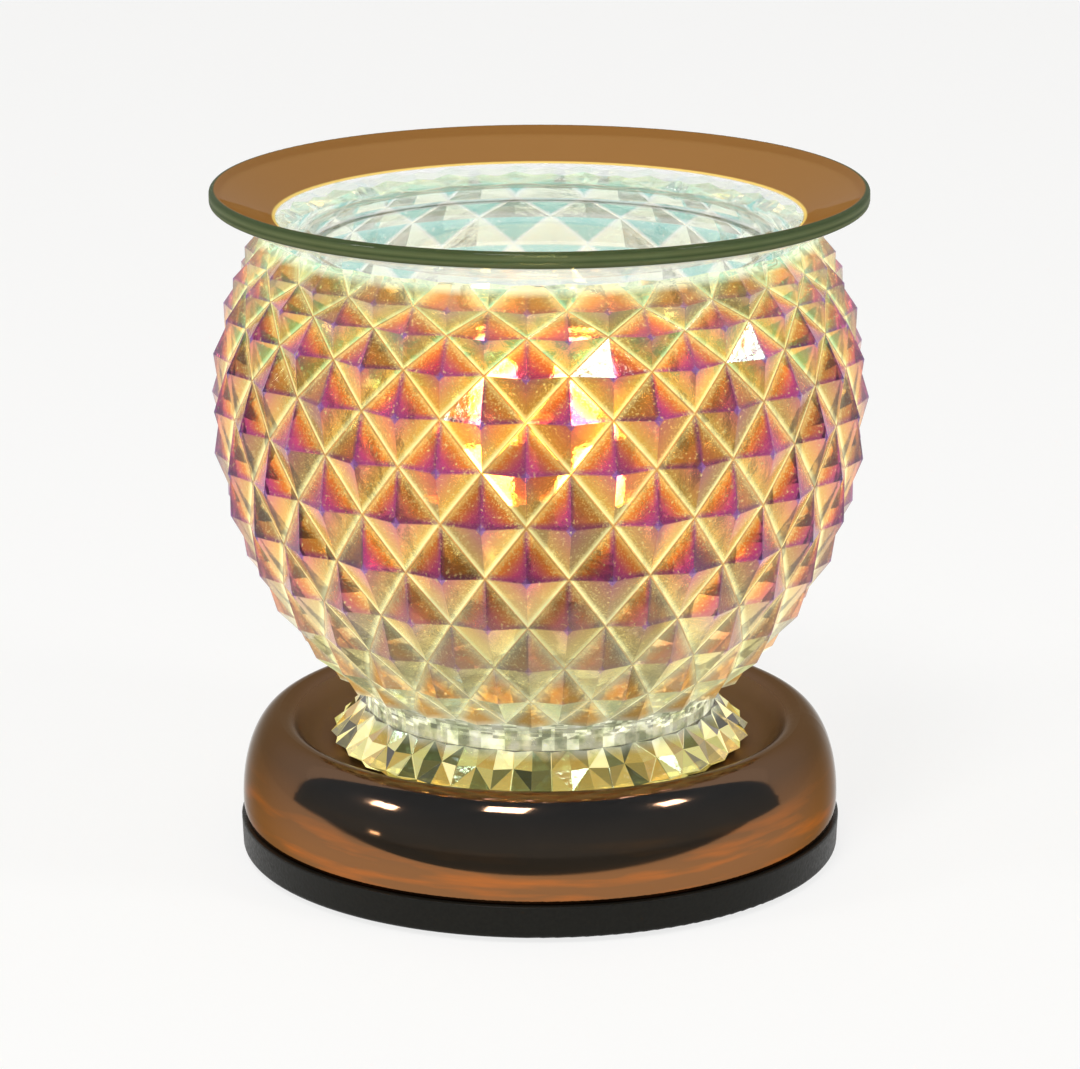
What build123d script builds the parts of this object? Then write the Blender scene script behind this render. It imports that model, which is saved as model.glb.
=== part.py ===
# Electric wax melt warmer: a flared glass dish on a diamond-cut glass globe,
# over a twist-lock halogen lamp, on a copper-coloured touch base.
# Millimetres, +Z up. The origin is on the table, under the middle of the base.
# The front, where the diamonds' centre column stands, faces -Y and the cord inlet faces +Y.

import math
import os

from build123d import *

os.makedirs("parts", exist_ok=True)

# Clearances
thread_clearance = 0.05
slip_clearance = 0.2
dish_clearance = 0.25
pin_clearance = 0.4

# Feet and bottom pan
pad_height = 1.0
pad_radius = 6.0
pad_edge_round = 0.5
pad_circle_radius = 46.0
pad_count = 4
pan_floor = 2.2
pan_wall = 2.0
pan_stand_out = 0.4
pan_draw_in = 0.3
pan_edge_round = 1.0
pan_lip_round = 0.3
pan_height = 6.6
pan_spigot_height = 2.8
vent_count = 8
vent_circle_radius = 14.0
vent_length = 8.0
vent_width = 2.4

# Copper-coloured cover
cover_wall = 1.2
cover_radius = 60.35
cover_hem_draw_in = 1.05
cover_belly_height = 4.0
cover_height = 20.5
crest_width = 7.55
seat_depth = 6.1
seat_margin = 0.8

# Posts and screws that close the base
post_radius = 3.5
post_spacing_x = 62.0
post_spacing_y = 44.0
pan_screw_radius = 1.5
pan_screw_head_radius = 3.3
pan_screw_head_height = 1.6
pan_screw_reach = 9.0
post_thread_spare = 2.0

# Glass globe
foot_draw_in = 1.8
foot_edge_height = 1.6
foot_edge_step = 3.4
foot_flank_height = 5.0
foot_flank_step = 2.6
foot_neck_height = 8.0
foot_neck_step = 1.1
foot_groove = 1.0
foot_facet_count = 32
waist_inset = 5.6
waist_height = 10.2
bowl_height = 14.5
bowl_joint_inset = 0.7
bowl_bottom_radius = 40.9
bowl_radius_max = 65.5
bowl_lower_bend = 76.5
bowl_upper_bend = 66.9
mouth_height = 105.9
rim_band = 5.3
rim_spare_height = 2.0
diamond_count = 24
diamond_rows = 10
diamond_groove = 2.2
row_turn = 12.9
rows_below_middle = 4.5
glass_wall = 2.8
glass_floor = 6.2
glass_hole_radius = 8.0
waist_wall = 5.8

# Wax dish
dish_overhang = 9.5
dish_seat_inset = 10.5
dish_depth = 10.0
dish_thickness = 3.0
dish_bend_radius = 6.0
dish_edge_round = 0.9

# Clamping stack on the stem
gasket_thickness = 0.8
gasket_width = 5.0
gasket_inset = 2.0
shade_washer_thickness = 1.0
shade_plate_thickness = 1.5
shade_plate_margin = 1.5
shade_plate_lip = 1.5
stem_radius = 5.0
stem_wall = 1.2
stem_overhang = 1.0
nut_across_flats = 14.0
nut_height = 4.0
nut_chamfer = 0.5
lock_washer_radius = 9.0
lock_washer_thickness = 0.8
lock_washer_tooth_count = 10
lock_washer_notch = 1.2
lock_washer_notch_depth = 1.6

# Touch tag
tag_thickness = 0.8
tag_ring_radius = 8.5
tag_tongue_width = 3.6
tag_reach = 16.0

# Lampholder and its bracket
bracket_thickness = 1.2
bracket_width = 14.0
bracket_half_span = 15.0
bracket_flange_gap = 13.0
bracket_height = 10.7
bracket_bend = 1.0
holder_radius = 13.5
holder_height = 16.0
holder_chamfer = 1.0
holder_screw_spacing = 19.6
holder_screw_radius = 1.5
holder_screw_head_radius = 2.7
holder_screw_head_height = 1.8
holder_screw_reach = 4.0
holder_lip = 4.2
holder_pocket_depth = 5.8
contact_thickness = 0.8
contact_post_radius = 1.6
contact_gap = 0.3

# Twist-lock lamp
twist_angle = 35.0
pin_spacing = 10.0
pin_radius = 1.5
pin_head_radius = 2.5
pin_head_length = 2.9
pin_embed = 6.0
cap_radius = 10.0
cap_skirt_wall = 1.8
cap_straight_height = 6.5
cap_skirt_height = 13.5
cap_height = 17.5
cap_pinch_depth = 4.0
lamp_neck_radius = 10.4
lamp_neck_height = 5.0
reflector_wall = 1.6
reflector_height = 24.0
reflector_rim_radius = 25.0
reflector_belly = 2.2
reflector_rim_height = 3.0
lens_seat_width = 1.5
lens_thickness = 2.2
capsule_radius = 4.6
capsule_wall = 0.9
capsule_height = 15.0
pinch_width = 8.0
pinch_thickness = 3.0
filament_radius = 0.6
filament_length = 5.0
filament_drop = 6.0
filament_leg_radius = 0.25

# Touch dimmer
dimmer_length = 46.0
dimmer_width = 27.0
dimmer_height = 12.5
dimmer_wall = 1.5
dimmer_near_edge = 19.0
dimmer_corner_round = 2.0
lid_thickness = 1.5
lid_lip = 1.2
board_thickness = 1.6
board_margin = 0.5
board_lift = 2.5
board_boss = 3.0
component_margin = 6.0
triac_size = (8.0, 4.6, 5.2)
capacitor_size = (9.0, 6.0, 5.0)
capacitor_round = 1.0
choke_radius = 3.2
choke_height = 4.6
choke_core_radius = 1.2
chip_size = (8.0, 6.4, 3.2)
chip_notch_radius = 1.0
tab_thickness = 1.0

# Terminal block
terminal_size = (24.0, 16.0, 10.0)
terminal_far_edge = 42.0
terminal_pitch = 13.0
terminal_boss_height = 3.0
insert_radius = 2.4
insert_length = 13.0
insert_bore_radius = 1.5
insert_axis_height = 4.2
terminal_screw_radius = 1.2
terminal_screw_head_radius = 1.8
terminal_screw_head_height = 1.6
terminal_screw_spacing = 7.0
terminal_well_radius = 2.1
fixing_radius = 1.4
fixing_head_radius = 2.5
fixing_head_height = 1.5
fixing_reach = 3.5

# Leads and cord inlet
lead_radius = 1.0
lead_room = 0.3
lead_inside_case = 6.0
lead_turn_height = 3.0
stem_lane = 1.6
lead_edge_inset = 7.0
lead_straight = 14.0
touch_lead_start = 3.0
touch_lead_swing = 6.0
touch_lead_drop = 8.0
bush_radius = 6.4
bush_hole_radius = 4.9
bush_bore_radius = 3.3
bush_length = 6.0
bush_stand_out = 1.7
bush_gap = 0.2

# Heights above the table, from the feet upwards
z_pan = pad_height
z_pan_floor = z_pan + pan_floor
z_seam = z_pan + pan_height
z_belly = z_seam + cover_belly_height
z_crest = z_seam + cover_height
z_seat = z_crest - seat_depth
z_seat_under = z_seat - cover_wall
z_low_washer = z_seat_under - lock_washer_thickness
z_tag = z_low_washer - tag_thickness
z_low_nut = z_tag - nut_height
z_stem_bottom = z_low_nut - stem_overhang
z_foot = z_seat + gasket_thickness
z_glass_floor = z_foot + glass_floor
z_plate = z_glass_floor + shade_washer_thickness
z_high_washer = z_plate + shade_plate_thickness
z_middle_nut = z_high_washer + lock_washer_thickness
z_bracket = z_middle_nut + nut_height
z_high_nut = z_bracket + bracket_thickness
z_stem_top = z_high_nut + nut_height + stem_overhang
z_holder = z_bracket + bracket_height
z_lamp = z_holder + holder_height
z_spigot = z_seam + pan_spigot_height
z_bush = z_spigot + bush_gap + bush_radius
z_bowl = z_foot + bowl_height
bowl_bottom_reach = bowl_bottom_radius - bowl_radius_max + bowl_lower_bend
z_widest = z_bowl + math.sqrt(bowl_lower_bend**2 - bowl_bottom_reach**2)
z_mouth = z_foot + mouth_height
z_board = z_pan_floor + dimmer_wall + board_lift
z_board_top = z_board + board_thickness
z_lead = z_board_top + lead_radius
z_terminal = z_pan_floor + terminal_boss_height
z_insert = z_terminal + insert_axis_height


def bowl_radius(z):
    """Radius over the tips of the diamonds at a height above the table."""
    bend = bowl_upper_bend if z > z_widest else bowl_lower_bend
    return bowl_radius_max - bend + math.sqrt(bend**2 - (z - z_widest) ** 2)


# Globe from the bowl down: each ring takes its radius from the one above it
waist_radius = bowl_bottom_radius - waist_inset
cavity_floor_radius = waist_radius - waist_wall
foot_neck_radius = waist_radius + foot_neck_step
foot_flank_radius = foot_neck_radius + foot_flank_step
foot_radius = foot_flank_radius + foot_edge_step
foot_bottom_radius = foot_radius - foot_draw_in

# Wax dish against the globe's mouth: the flange lies on the ground seat of the rim
mouth_radius = bowl_radius(z_mouth)
dish_radius = mouth_radius + dish_overhang
dish_floor_radius = mouth_radius - dish_seat_inset
flange_slope = dish_depth / (dish_radius - dish_floor_radius)
flange_angle = math.atan(flange_slope)
dish_drop = dish_thickness / math.cos(flange_angle)
z_dish_floor = z_mouth + dish_clearance + dish_drop - flange_slope * dish_seat_inset
z_dish_rim = z_dish_floor + dish_depth
z_dish_under = z_dish_floor - dish_thickness
dish_under_radius = dish_floor_radius + dish_thickness * math.tan(flange_angle / 2)


def diamond_solid(levels, tips, groove, around):
    """Closed solid of four-sided pyramids that stand between crossing diagonal grooves."""
    steps = 2 * around

    def is_crossing(row, step):
        return (row + step) % 2 == 1

    def corner(row, step):
        radius = tips[row] - (groove if is_crossing(row, step) else 0)
        angle = math.radians(step * 180 / around - 90)
        return Vector(radius * math.cos(angle), radius * math.sin(angle), levels[row])

    def facet(*corners):
        return Face(Wire.make_polygon(corners))

    last = len(levels) - 1
    facets = []
    for row in range(len(levels)):
        for step in range(steps):
            if is_crossing(row, step):
                continue
            tip = corner(row, step)
            left = corner(row, step - 1)
            right = corner(row, step + 1)
            if row < last:
                top = corner(row + 1, step)
                facets += [facet(tip, right, top), facet(tip, top, left)]
            if row > 0:
                bottom = corner(row - 1, step)
                facets += [facet(tip, bottom, right), facet(tip, left, bottom)]
    facets.append(facet(*[corner(last, step) for step in range(steps)]))
    facets.append(facet(*[corner(0, -step) for step in range(steps)]))
    return Solid(Shell(facets))


def lead(route, bends):
    """Insulated wire along straight runs joined by arcs."""
    with BuildPart() as wire:
        with BuildLine() as path:
            FilletPolyline(*route, radius=bends)
        with BuildSketch(Plane(origin=path.line @ 0, z_dir=path.line % 0)):
            Circle(lead_radius)
        sweep(path=path.line)
    return wire


# Wax dish: slumped float glass with a flat floor and a flared flange
with BuildPart() as wax_dish:
    with BuildSketch(Plane.XZ):
        with BuildLine():
            top = FilletPolyline(
                (0, z_dish_floor),
                (dish_floor_radius, z_dish_floor),
                (dish_radius, z_dish_rim),
                radius=dish_bend_radius,
            )
            bottom = FilletPolyline(
                (0, z_dish_under),
                (dish_under_radius, z_dish_under),
                (dish_radius, z_dish_rim - dish_drop),
                radius=dish_bend_radius + dish_thickness,
            )
            Line(top @ 0, bottom @ 0)
            Line(top @ 1, bottom @ 1)
        make_face()
    revolve(axis=Axis.Z)
    rim_edges = wax_dish.edges().filter_by(GeomType.CIRCLE).sort_by(SortBy.RADIUS)[-2:]
    fillet(rim_edges, dish_edge_round)
wax_dish.part.label = "wax_dish"
export_step(wax_dish.part, "parts/wax_dish.step")

# Globe: pressed glass with diamond pyramids outside, a smooth cavity, a waist and a faceted foot
z_top_row = z_mouth - rim_band
rise_below = math.sin(math.radians(row_turn * rows_below_middle))
rise_above = math.sin(math.radians(row_turn * (diamond_rows - rows_below_middle)))
row_reach = (z_top_row - z_bowl) / (rise_below + rise_above)
z_row_middle = z_bowl + row_reach * rise_below
bowl_levels = [
    z_row_middle + row_reach * math.sin(math.radians(row_turn * (row - rows_below_middle)))
    for row in range(diamond_rows + 1)
]
bowl_levels.append(z_mouth + rim_spare_height)
bowl_tips = [bowl_radius(level) for level in bowl_levels]
bowl_joint_radius = bowl_bottom_radius - diamond_groove - bowl_joint_inset
foot_levels = [z_foot + h for h in (0, foot_edge_height, foot_flank_height, foot_neck_height)]
foot_tips = [foot_bottom_radius, foot_radius, foot_flank_radius, foot_neck_radius]
cavity_inset = diamond_groove + glass_wall
z_cavity_top = bowl_levels[-1] + rim_spare_height
lower_arc_radius = bowl_lower_bend - cavity_inset
upper_arc_radius = bowl_upper_bend - cavity_inset
lower_arc_centre = bowl_radius_max - bowl_lower_bend
upper_arc_centre = bowl_radius_max - bowl_upper_bend
lower_arc_angle = math.degrees(math.acos((cavity_floor_radius - lower_arc_centre) / lower_arc_radius))
upper_arc_angle = math.degrees(math.asin((z_cavity_top - z_widest) / upper_arc_radius))
z_cone_inner = z_mouth - flange_slope * (mouth_radius - cavity_floor_radius)
z_cone_outer = z_mouth + flange_slope * (bowl_radius_max - mouth_radius)
with BuildPart() as globe_shade:
    add(diamond_solid(bowl_levels, bowl_tips, diamond_groove, diamond_count))
    add(diamond_solid(foot_levels, foot_tips, foot_groove, foot_facet_count))
    with BuildSketch(Plane.XZ):
        with BuildLine():
            Polyline(
                (waist_radius, z_foot + waist_height),
                (waist_radius, z_foot + foot_flank_height),
                (0, z_foot + foot_flank_height),
                (0, z_bowl + foot_edge_height),
                (bowl_joint_radius, z_bowl + foot_edge_height),
                (bowl_joint_radius, z_bowl),
            )
            TangentArc(
                (waist_radius, z_foot + waist_height),
                (bowl_joint_radius, z_bowl),
                tangent=(0, 1),
            )
        make_face()
    revolve(axis=Axis.Z)
    with BuildSketch(Plane.XZ):
        with BuildLine():
            lower = CenterArc(
                (lower_arc_centre, z_widest), lower_arc_radius, -lower_arc_angle, lower_arc_angle
            )
            upper = CenterArc((upper_arc_centre, z_widest), upper_arc_radius, 0, upper_arc_angle)
            Polyline(
                upper @ 1,
                (0, z_cavity_top),
                (0, z_foot),
                (glass_hole_radius, z_foot),
                (glass_hole_radius, z_glass_floor),
                (cavity_floor_radius, z_glass_floor),
                lower @ 0,
            )
        make_face()
        with BuildLine():
            Polyline(
                (cavity_floor_radius, z_cone_inner),
                (bowl_radius_max, z_cone_outer),
                (cavity_floor_radius, z_cone_outer),
                close=True,
            )
        make_face()
    revolve(axis=Axis.Z, mode=Mode.SUBTRACT)
globe_shade.part.label = "globe_shade"
export_step(globe_shade.part, "parts/globe_shade.step")

# Soft ring between the glass foot and the metal seat
gasket_outer_radius = foot_bottom_radius - foot_groove - gasket_inset
with BuildPart() as foot_gasket:
    with BuildSketch(Plane.XY.offset(z_seat)):
        Circle(gasket_outer_radius)
        Circle(gasket_outer_radius - gasket_width, mode=Mode.SUBTRACT)
    extrude(amount=gasket_thickness)
foot_gasket.part.label = "foot_gasket"
export_step(foot_gasket.part, "parts/foot_gasket.step")

# Fibre ring between the glass floor and the clamping plate
plate_radius = cavity_floor_radius - shade_plate_margin
with BuildPart() as shade_washer:
    with BuildSketch(Plane.XY.offset(z_glass_floor)):
        Circle(plate_radius)
        Circle(glass_hole_radius, mode=Mode.SUBTRACT)
    extrude(amount=shade_washer_thickness)
shade_washer.part.label = "shade_washer"
export_step(shade_washer.part, "parts/shade_washer.step")

# Pressed steel plate with a turned-up lip that clamps the glass to the base
stem_hole_radius = stem_radius + slip_clearance
with BuildPart() as shade_plate:
    with BuildSketch(Plane.XY.offset(z_plate)):
        Circle(plate_radius)
    extrude(amount=shade_plate_thickness + shade_plate_lip)
    with BuildSketch(Plane.XY.offset(z_plate + shade_plate_thickness)):
        Circle(plate_radius - shade_plate_thickness)
    extrude(amount=shade_plate_lip, mode=Mode.SUBTRACT)
    with BuildSketch(Plane.XY.offset(z_plate)):
        Circle(stem_hole_radius)
    extrude(amount=shade_plate_thickness, mode=Mode.SUBTRACT)
shade_plate.part.label = "shade_plate"
export_step(shade_plate.part, "parts/shade_plate.step")

# Hollow threaded stem that carries the leads up to the lampholder
stem_bore_radius = stem_radius - stem_wall
with BuildPart() as stem:
    with BuildSketch(Plane.XY.offset(z_stem_bottom)):
        Circle(stem_radius)
        Circle(stem_bore_radius, mode=Mode.SUBTRACT)
    extrude(amount=z_stem_top - z_stem_bottom)
    stem_ends = stem.edges().filter_by(GeomType.CIRCLE).sort_by(SortBy.RADIUS)[-2:]
    chamfer(stem_ends, stem_wall / 3)
stem.part.label = "stem"
export_step(stem.part, "parts/stem.step")

# Hexagon nuts: under the cover, over the clamping plate and over the bracket
nut_hole_radius = stem_radius + thread_clearance
with BuildPart() as stem_nuts:
    for z_nut in (z_low_nut, z_middle_nut, z_high_nut):
        with BuildSketch(Plane.XY.offset(z_nut)):
            RegularPolygon(nut_across_flats / 2, side_count=6, major_radius=False)
            Circle(nut_hole_radius, mode=Mode.SUBTRACT)
        extrude(amount=nut_height)
    nut_rims = stem_nuts.edges().filter_by(GeomType.LINE).filter_by(Axis.Z, reverse=True)
    chamfer(nut_rims, nut_chamfer)
stem_nuts.part.label = "stem_nuts"
export_step(stem_nuts.part, "parts/stem_nuts.step")

# Toothed lock washers
with BuildPart() as stem_washers:
    for z_washer in (z_low_washer, z_high_washer):
        with BuildSketch(Plane.XY.offset(z_washer)):
            Circle(lock_washer_radius)
            Circle(stem_hole_radius, mode=Mode.SUBTRACT)
            with PolarLocations(lock_washer_radius, lock_washer_tooth_count):
                Rectangle(2 * lock_washer_notch_depth, lock_washer_notch, mode=Mode.SUBTRACT)
        extrude(amount=lock_washer_thickness)
stem_washers.part.label = "stem_washers"
export_step(stem_washers.part, "parts/stem_washers.step")

# Copper-coloured cover: a pressed shell with a crest around the sunk seat of the glass foot
seat_radius = foot_radius + seat_margin
cover_hem_radius = cover_radius - cover_hem_draw_in
crest_radius = cover_radius - crest_width


def cover_outline(inset):
    """Lines from the hem over the crest to the middle of the seat, set in by the wall's thickness."""
    hem = EllipticalCenterArc(
        (cover_hem_radius - inset, z_belly), cover_hem_draw_in, cover_belly_height, 270, arc_size=90
    )
    flank = EllipticalCenterArc(
        (crest_radius, z_belly), crest_width - inset, z_crest - z_belly - inset, 0, arc_size=90
    )
    dip = Spline((crest_radius, z_crest - inset), (seat_radius, z_seat - inset), tangents=[(-1, 0), (-1, 0)])
    seat = Line((seat_radius, z_seat - inset), (0, z_seat - inset))
    return hem, seat


with BuildPart() as base_cover:
    with BuildSketch(Plane.XZ):
        with BuildLine():
            outer_hem, outer_seat = cover_outline(0)
            inner_hem, inner_seat = cover_outline(cover_wall)
            Line(outer_hem @ 0, inner_hem @ 0)
            Line(outer_seat @ 1, inner_seat @ 1)
        make_face()
    revolve(axis=Axis.Z)
    with BuildSketch(Plane.XY.offset(z_seat)):
        Circle(stem_hole_radius)
    extrude(amount=-cover_wall, mode=Mode.SUBTRACT)
    with BuildSketch(Plane.XZ):
        with Locations((0, z_bush)):
            Circle(bush_hole_radius)
    extrude(amount=-cover_radius, mode=Mode.SUBTRACT)
base_cover.part.label = "base_cover"
export_step(base_cover.part, "parts/base_cover.step")

# Rubber bush of the cord inlet, which grips the edge of the cover's hole on both sides
bush_outer_end = cover_radius + bush_stand_out
with BuildPart() as cord_bush:
    with BuildSketch(Plane.XZ.offset(-bush_outer_end)):
        with Locations((0, z_bush)):
            Circle(bush_radius)
    extrude(amount=bush_length)
    fillet(cord_bush.faces().sort_by(Axis.Y)[-1].edges(), bush_stand_out / 2)
    add(base_cover.part, mode=Mode.SUBTRACT)
    with BuildSketch(Plane.XZ.offset(-bush_outer_end)):
        with Locations((0, z_bush)):
            Circle(bush_bore_radius)
    extrude(amount=bush_length, mode=Mode.SUBTRACT)
cord_bush.part.label = "cord_bush"
export_step(cord_bush.part, "parts/cord_bush.step")

# Threaded posts welded under the seat
z_post_top = z_seat_under
with BuildPart() as cover_posts:
    with BuildSketch(Plane.XY.offset(z_pan_floor)):
        with GridLocations(post_spacing_x, post_spacing_y, 2, 2):
            Circle(post_radius)
    extrude(amount=z_post_top - z_pan_floor)
    with BuildSketch(Plane.XY.offset(z_pan_floor)):
        with GridLocations(post_spacing_x, post_spacing_y, 2, 2):
            Circle(pan_screw_radius + thread_clearance)
    extrude(amount=pan_screw_reach + post_thread_spare, mode=Mode.SUBTRACT)
cover_posts.part.label = "cover_posts"
export_step(cover_posts.part, "parts/cover_posts.step")

# Terminal block and dimmer places, shared with the pan that carries them
terminal_length, terminal_width, terminal_height = terminal_size
terminal_y = terminal_far_edge - terminal_width / 2
dimmer_y = -dimmer_near_edge - dimmer_width / 2

# Black pan: floor, rim and a spigot that the cover's hem slips over
spigot_radius = cover_hem_radius - cover_wall - slip_clearance
pan_radius = cover_radius + pan_stand_out
pan_bottom_radius = pan_radius - pan_draw_in
with BuildPart() as base_pan:
    with BuildSketch(Plane.XZ):
        with BuildLine():
            Polyline(
                (0, z_pan),
                (pan_bottom_radius, z_pan),
                (pan_radius, z_seam),
                (spigot_radius, z_seam),
                (spigot_radius, z_spigot),
                (spigot_radius - pan_wall, z_spigot),
                (spigot_radius - pan_wall, z_pan_floor),
                (0, z_pan_floor),
                close=True,
            )
        make_face()
    revolve(axis=Axis.Z)
    lip_edge, bottom_edge = (
        base_pan.edges().filter_by(GeomType.CIRCLE).sort_by(SortBy.RADIUS)[-2:].sort_by(Axis.Z, reverse=True)
    )
    fillet(lip_edge, pan_lip_round)
    fillet(bottom_edge, pan_edge_round)
    with BuildSketch(Plane.XY.offset(z_pan_floor)):
        with Locations((0, terminal_y)):
            Rectangle(terminal_length, terminal_width)
    extrude(amount=terminal_boss_height)
    with Locations((0, terminal_y, z_terminal)):
        Hole(fixing_radius + thread_clearance, depth=fixing_reach)
    with BuildSketch(Plane.XY.offset(z_pan)):
        with PolarLocations(vent_circle_radius, vent_count):
            SlotOverall(vent_length, vent_width)
    extrude(amount=pan_floor, mode=Mode.SUBTRACT)
    with BuildSketch(Plane.XY.offset(z_pan)):
        with GridLocations(post_spacing_x, post_spacing_y, 2, 2):
            Circle(pan_screw_radius + slip_clearance)
    extrude(amount=pan_floor, mode=Mode.SUBTRACT)
    with GridLocations(post_spacing_x, post_spacing_y, 2, 2):
        with Locations((0, 0, z_pan + pan_screw_head_height / 2)):
            Cone(
                pan_screw_head_radius + thread_clearance,
                pan_screw_radius + thread_clearance,
                pan_screw_head_height,
                mode=Mode.SUBTRACT,
            )
base_pan.part.label = "base_pan"
export_step(base_pan.part, "parts/base_pan.step")

# Countersunk screws through the pan into the posts
with BuildPart() as pan_screws:
    with GridLocations(post_spacing_x, post_spacing_y, 2, 2):
        with Locations((0, 0, z_pan + pan_screw_head_height / 2)):
            Cone(pan_screw_head_radius, pan_screw_radius, pan_screw_head_height)
    with BuildSketch(Plane.XY.offset(z_pan)):
        with GridLocations(post_spacing_x, post_spacing_y, 2, 2):
            Circle(pan_screw_radius)
    extrude(amount=pan_floor + pan_screw_reach)
pan_screws.part.label = "pan_screws"
export_step(pan_screws.part, "parts/pan_screws.step")

# Rubber pads that the base stands on
for pad_number in range(1, pad_count + 1):
    pad_angle = (pad_number - 1) * 360 / pad_count
    with BuildPart() as foot_pad:
        with BuildSketch():
            with Locations(Vector(pad_circle_radius, 0).rotate(Axis.Z, pad_angle)):
                Circle(pad_radius)
        extrude(amount=pad_height)
        fillet(foot_pad.edges().group_by(Axis.Z)[0], pad_edge_round)
    foot_pad.part.label = f"foot_pad_{pad_number}"
    export_step(foot_pad.part, f"parts/foot_pad_{pad_number}.step")

# Bent strip bracket that lifts the lampholder over the stem's end
flange_edge = bracket_flange_gap / 2
with BuildPart() as holder_bracket:
    with BuildSketch(Plane.XZ.offset(-bracket_width / 2)):
        with BuildLine():
            Polyline(
                (0, z_bracket),
                (bracket_half_span, z_bracket),
                (bracket_half_span, z_holder),
                (flange_edge, z_holder),
                (flange_edge, z_holder - bracket_thickness),
                (bracket_half_span - bracket_thickness, z_holder - bracket_thickness),
                (bracket_half_span - bracket_thickness, z_high_nut),
                (0, z_high_nut),
                close=True,
            )
        make_face()
        mirror(about=Plane.YZ)
    extrude(amount=bracket_width)
    with BuildSketch(Plane.XY.offset(z_bracket)):
        Circle(stem_hole_radius)
    extrude(amount=bracket_thickness, mode=Mode.SUBTRACT)
    with BuildSketch(Plane.XY.offset(z_holder)):
        with GridLocations(holder_screw_spacing, 0, 2, 1):
            Circle(holder_screw_radius + slip_clearance)
    extrude(amount=-bracket_thickness, mode=Mode.SUBTRACT)
    corner_edges = (
        holder_bracket.edges()
        .filter_by(Axis.Y)
        .filter_by(lambda edge: abs(abs(edge.center().X) - bracket_half_span) < thread_clearance)
    )
    fillet(corner_edges, bracket_bend)
holder_bracket.part.label = "holder_bracket"
export_step(holder_bracket.part, "parts/holder_bracket.step")

# Ceramic lampholder with two kidney slots: a wide entry, a narrow lock and a pocket for the pin heads
pin_circle_radius = pin_spacing / 2
z_lip = z_lamp - holder_lip
z_pocket = z_lip - holder_pocket_depth
pocket_width = 2 * (pin_head_radius + pin_clearance)
lock_width = 2 * (pin_radius + pin_clearance)
wire_angle = math.radians(twist_angle / 2)
wire_x = pin_circle_radius * math.cos(wire_angle)
wire_y = pin_circle_radius * math.sin(wire_angle)
with BuildPart() as lampholder:
    with BuildSketch(Plane.XY.offset(z_holder)):
        Circle(holder_radius)
    extrude(amount=holder_height)
    chamfer(lampholder.edges().group_by(Axis.Z)[-1], holder_chamfer)
    for start_angle in (0, 180):
        pin_path = CenterArc((0, 0), pin_circle_radius, start_angle, twist_angle, mode=Mode.PRIVATE)
        with BuildSketch(Plane.XY.offset(z_pocket)):
            SlotArc(pin_path, pocket_width)
        extrude(amount=holder_pocket_depth, mode=Mode.SUBTRACT)
        with BuildSketch(Plane.XY.offset(z_lip)):
            SlotArc(pin_path, lock_width)
            with Locations(pin_path @ 1):
                Circle(pin_head_radius + pin_clearance)
        extrude(amount=holder_lip, mode=Mode.SUBTRACT)
    with BuildSketch(Plane.XY.offset(z_holder)):
        with GridLocations(holder_screw_spacing, 0, 2, 1):
            Circle(holder_screw_radius + thread_clearance)
    extrude(amount=holder_screw_reach, mode=Mode.SUBTRACT)
    with BuildSketch(Plane.XY.offset(z_holder)):
        with Locations((wire_x, wire_y), (-wire_x, -wire_y)):
            Circle(lead_radius + slip_clearance)
    extrude(amount=z_pocket - z_holder, mode=Mode.SUBTRACT)
lampholder.part.label = "lampholder"
export_step(lampholder.part, "parts/lampholder.step")

# Pan head screws from under the bracket into the lampholder
with BuildPart() as holder_screws:
    with BuildSketch(Plane.XY.offset(z_holder - bracket_thickness)):
        with GridLocations(holder_screw_spacing, 0, 2, 1):
            Circle(holder_screw_head_radius)
    extrude(amount=-holder_screw_head_height)
    with BuildSketch(Plane.XY.offset(z_holder - bracket_thickness)):
        with GridLocations(holder_screw_spacing, 0, 2, 1):
            Circle(holder_screw_radius)
    extrude(amount=bracket_thickness + holder_screw_reach)
holder_screws.part.label = "holder_screws"
export_step(holder_screws.part, "parts/holder_screws.step")

# Brass contacts on the pockets' floors, with a post under each locked pin
pin_length = holder_lip + pin_clearance + pin_head_length
z_pin_tip = z_lamp - pin_length
contact_post_height = z_pin_tip - contact_gap - z_pocket
with BuildPart() as holder_contacts:
    for start_angle in (0, 180):
        pin_path = CenterArc((0, 0), pin_circle_radius, start_angle, twist_angle, mode=Mode.PRIVATE)
        with BuildSketch(Plane.XY.offset(z_pocket)):
            SlotArc(pin_path, 2 * pin_head_radius)
        extrude(amount=contact_thickness)
        with BuildSketch(Plane.XY.offset(z_pocket)):
            with Locations(pin_path @ 0):
                Circle(contact_post_radius)
        extrude(amount=contact_post_height)
holder_contacts.part.label = "holder_contacts"
export_step(holder_contacts.part, "parts/holder_contacts.step")

# Lamp pins with mushroom heads
with BuildPart() as lamp_pins:
    with BuildSketch(Plane.XY.offset(z_pin_tip)):
        with GridLocations(pin_spacing, 0, 2, 1):
            Circle(pin_head_radius)
    extrude(amount=pin_head_length)
    with BuildSketch(Plane.XY.offset(z_pin_tip)):
        with GridLocations(pin_spacing, 0, 2, 1):
            Circle(pin_radius)
    extrude(amount=pin_length + pin_embed)
lamp_pins.part.label = "lamp_pins"
export_step(lamp_pins.part, "parts/lamp_pins.step")

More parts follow.
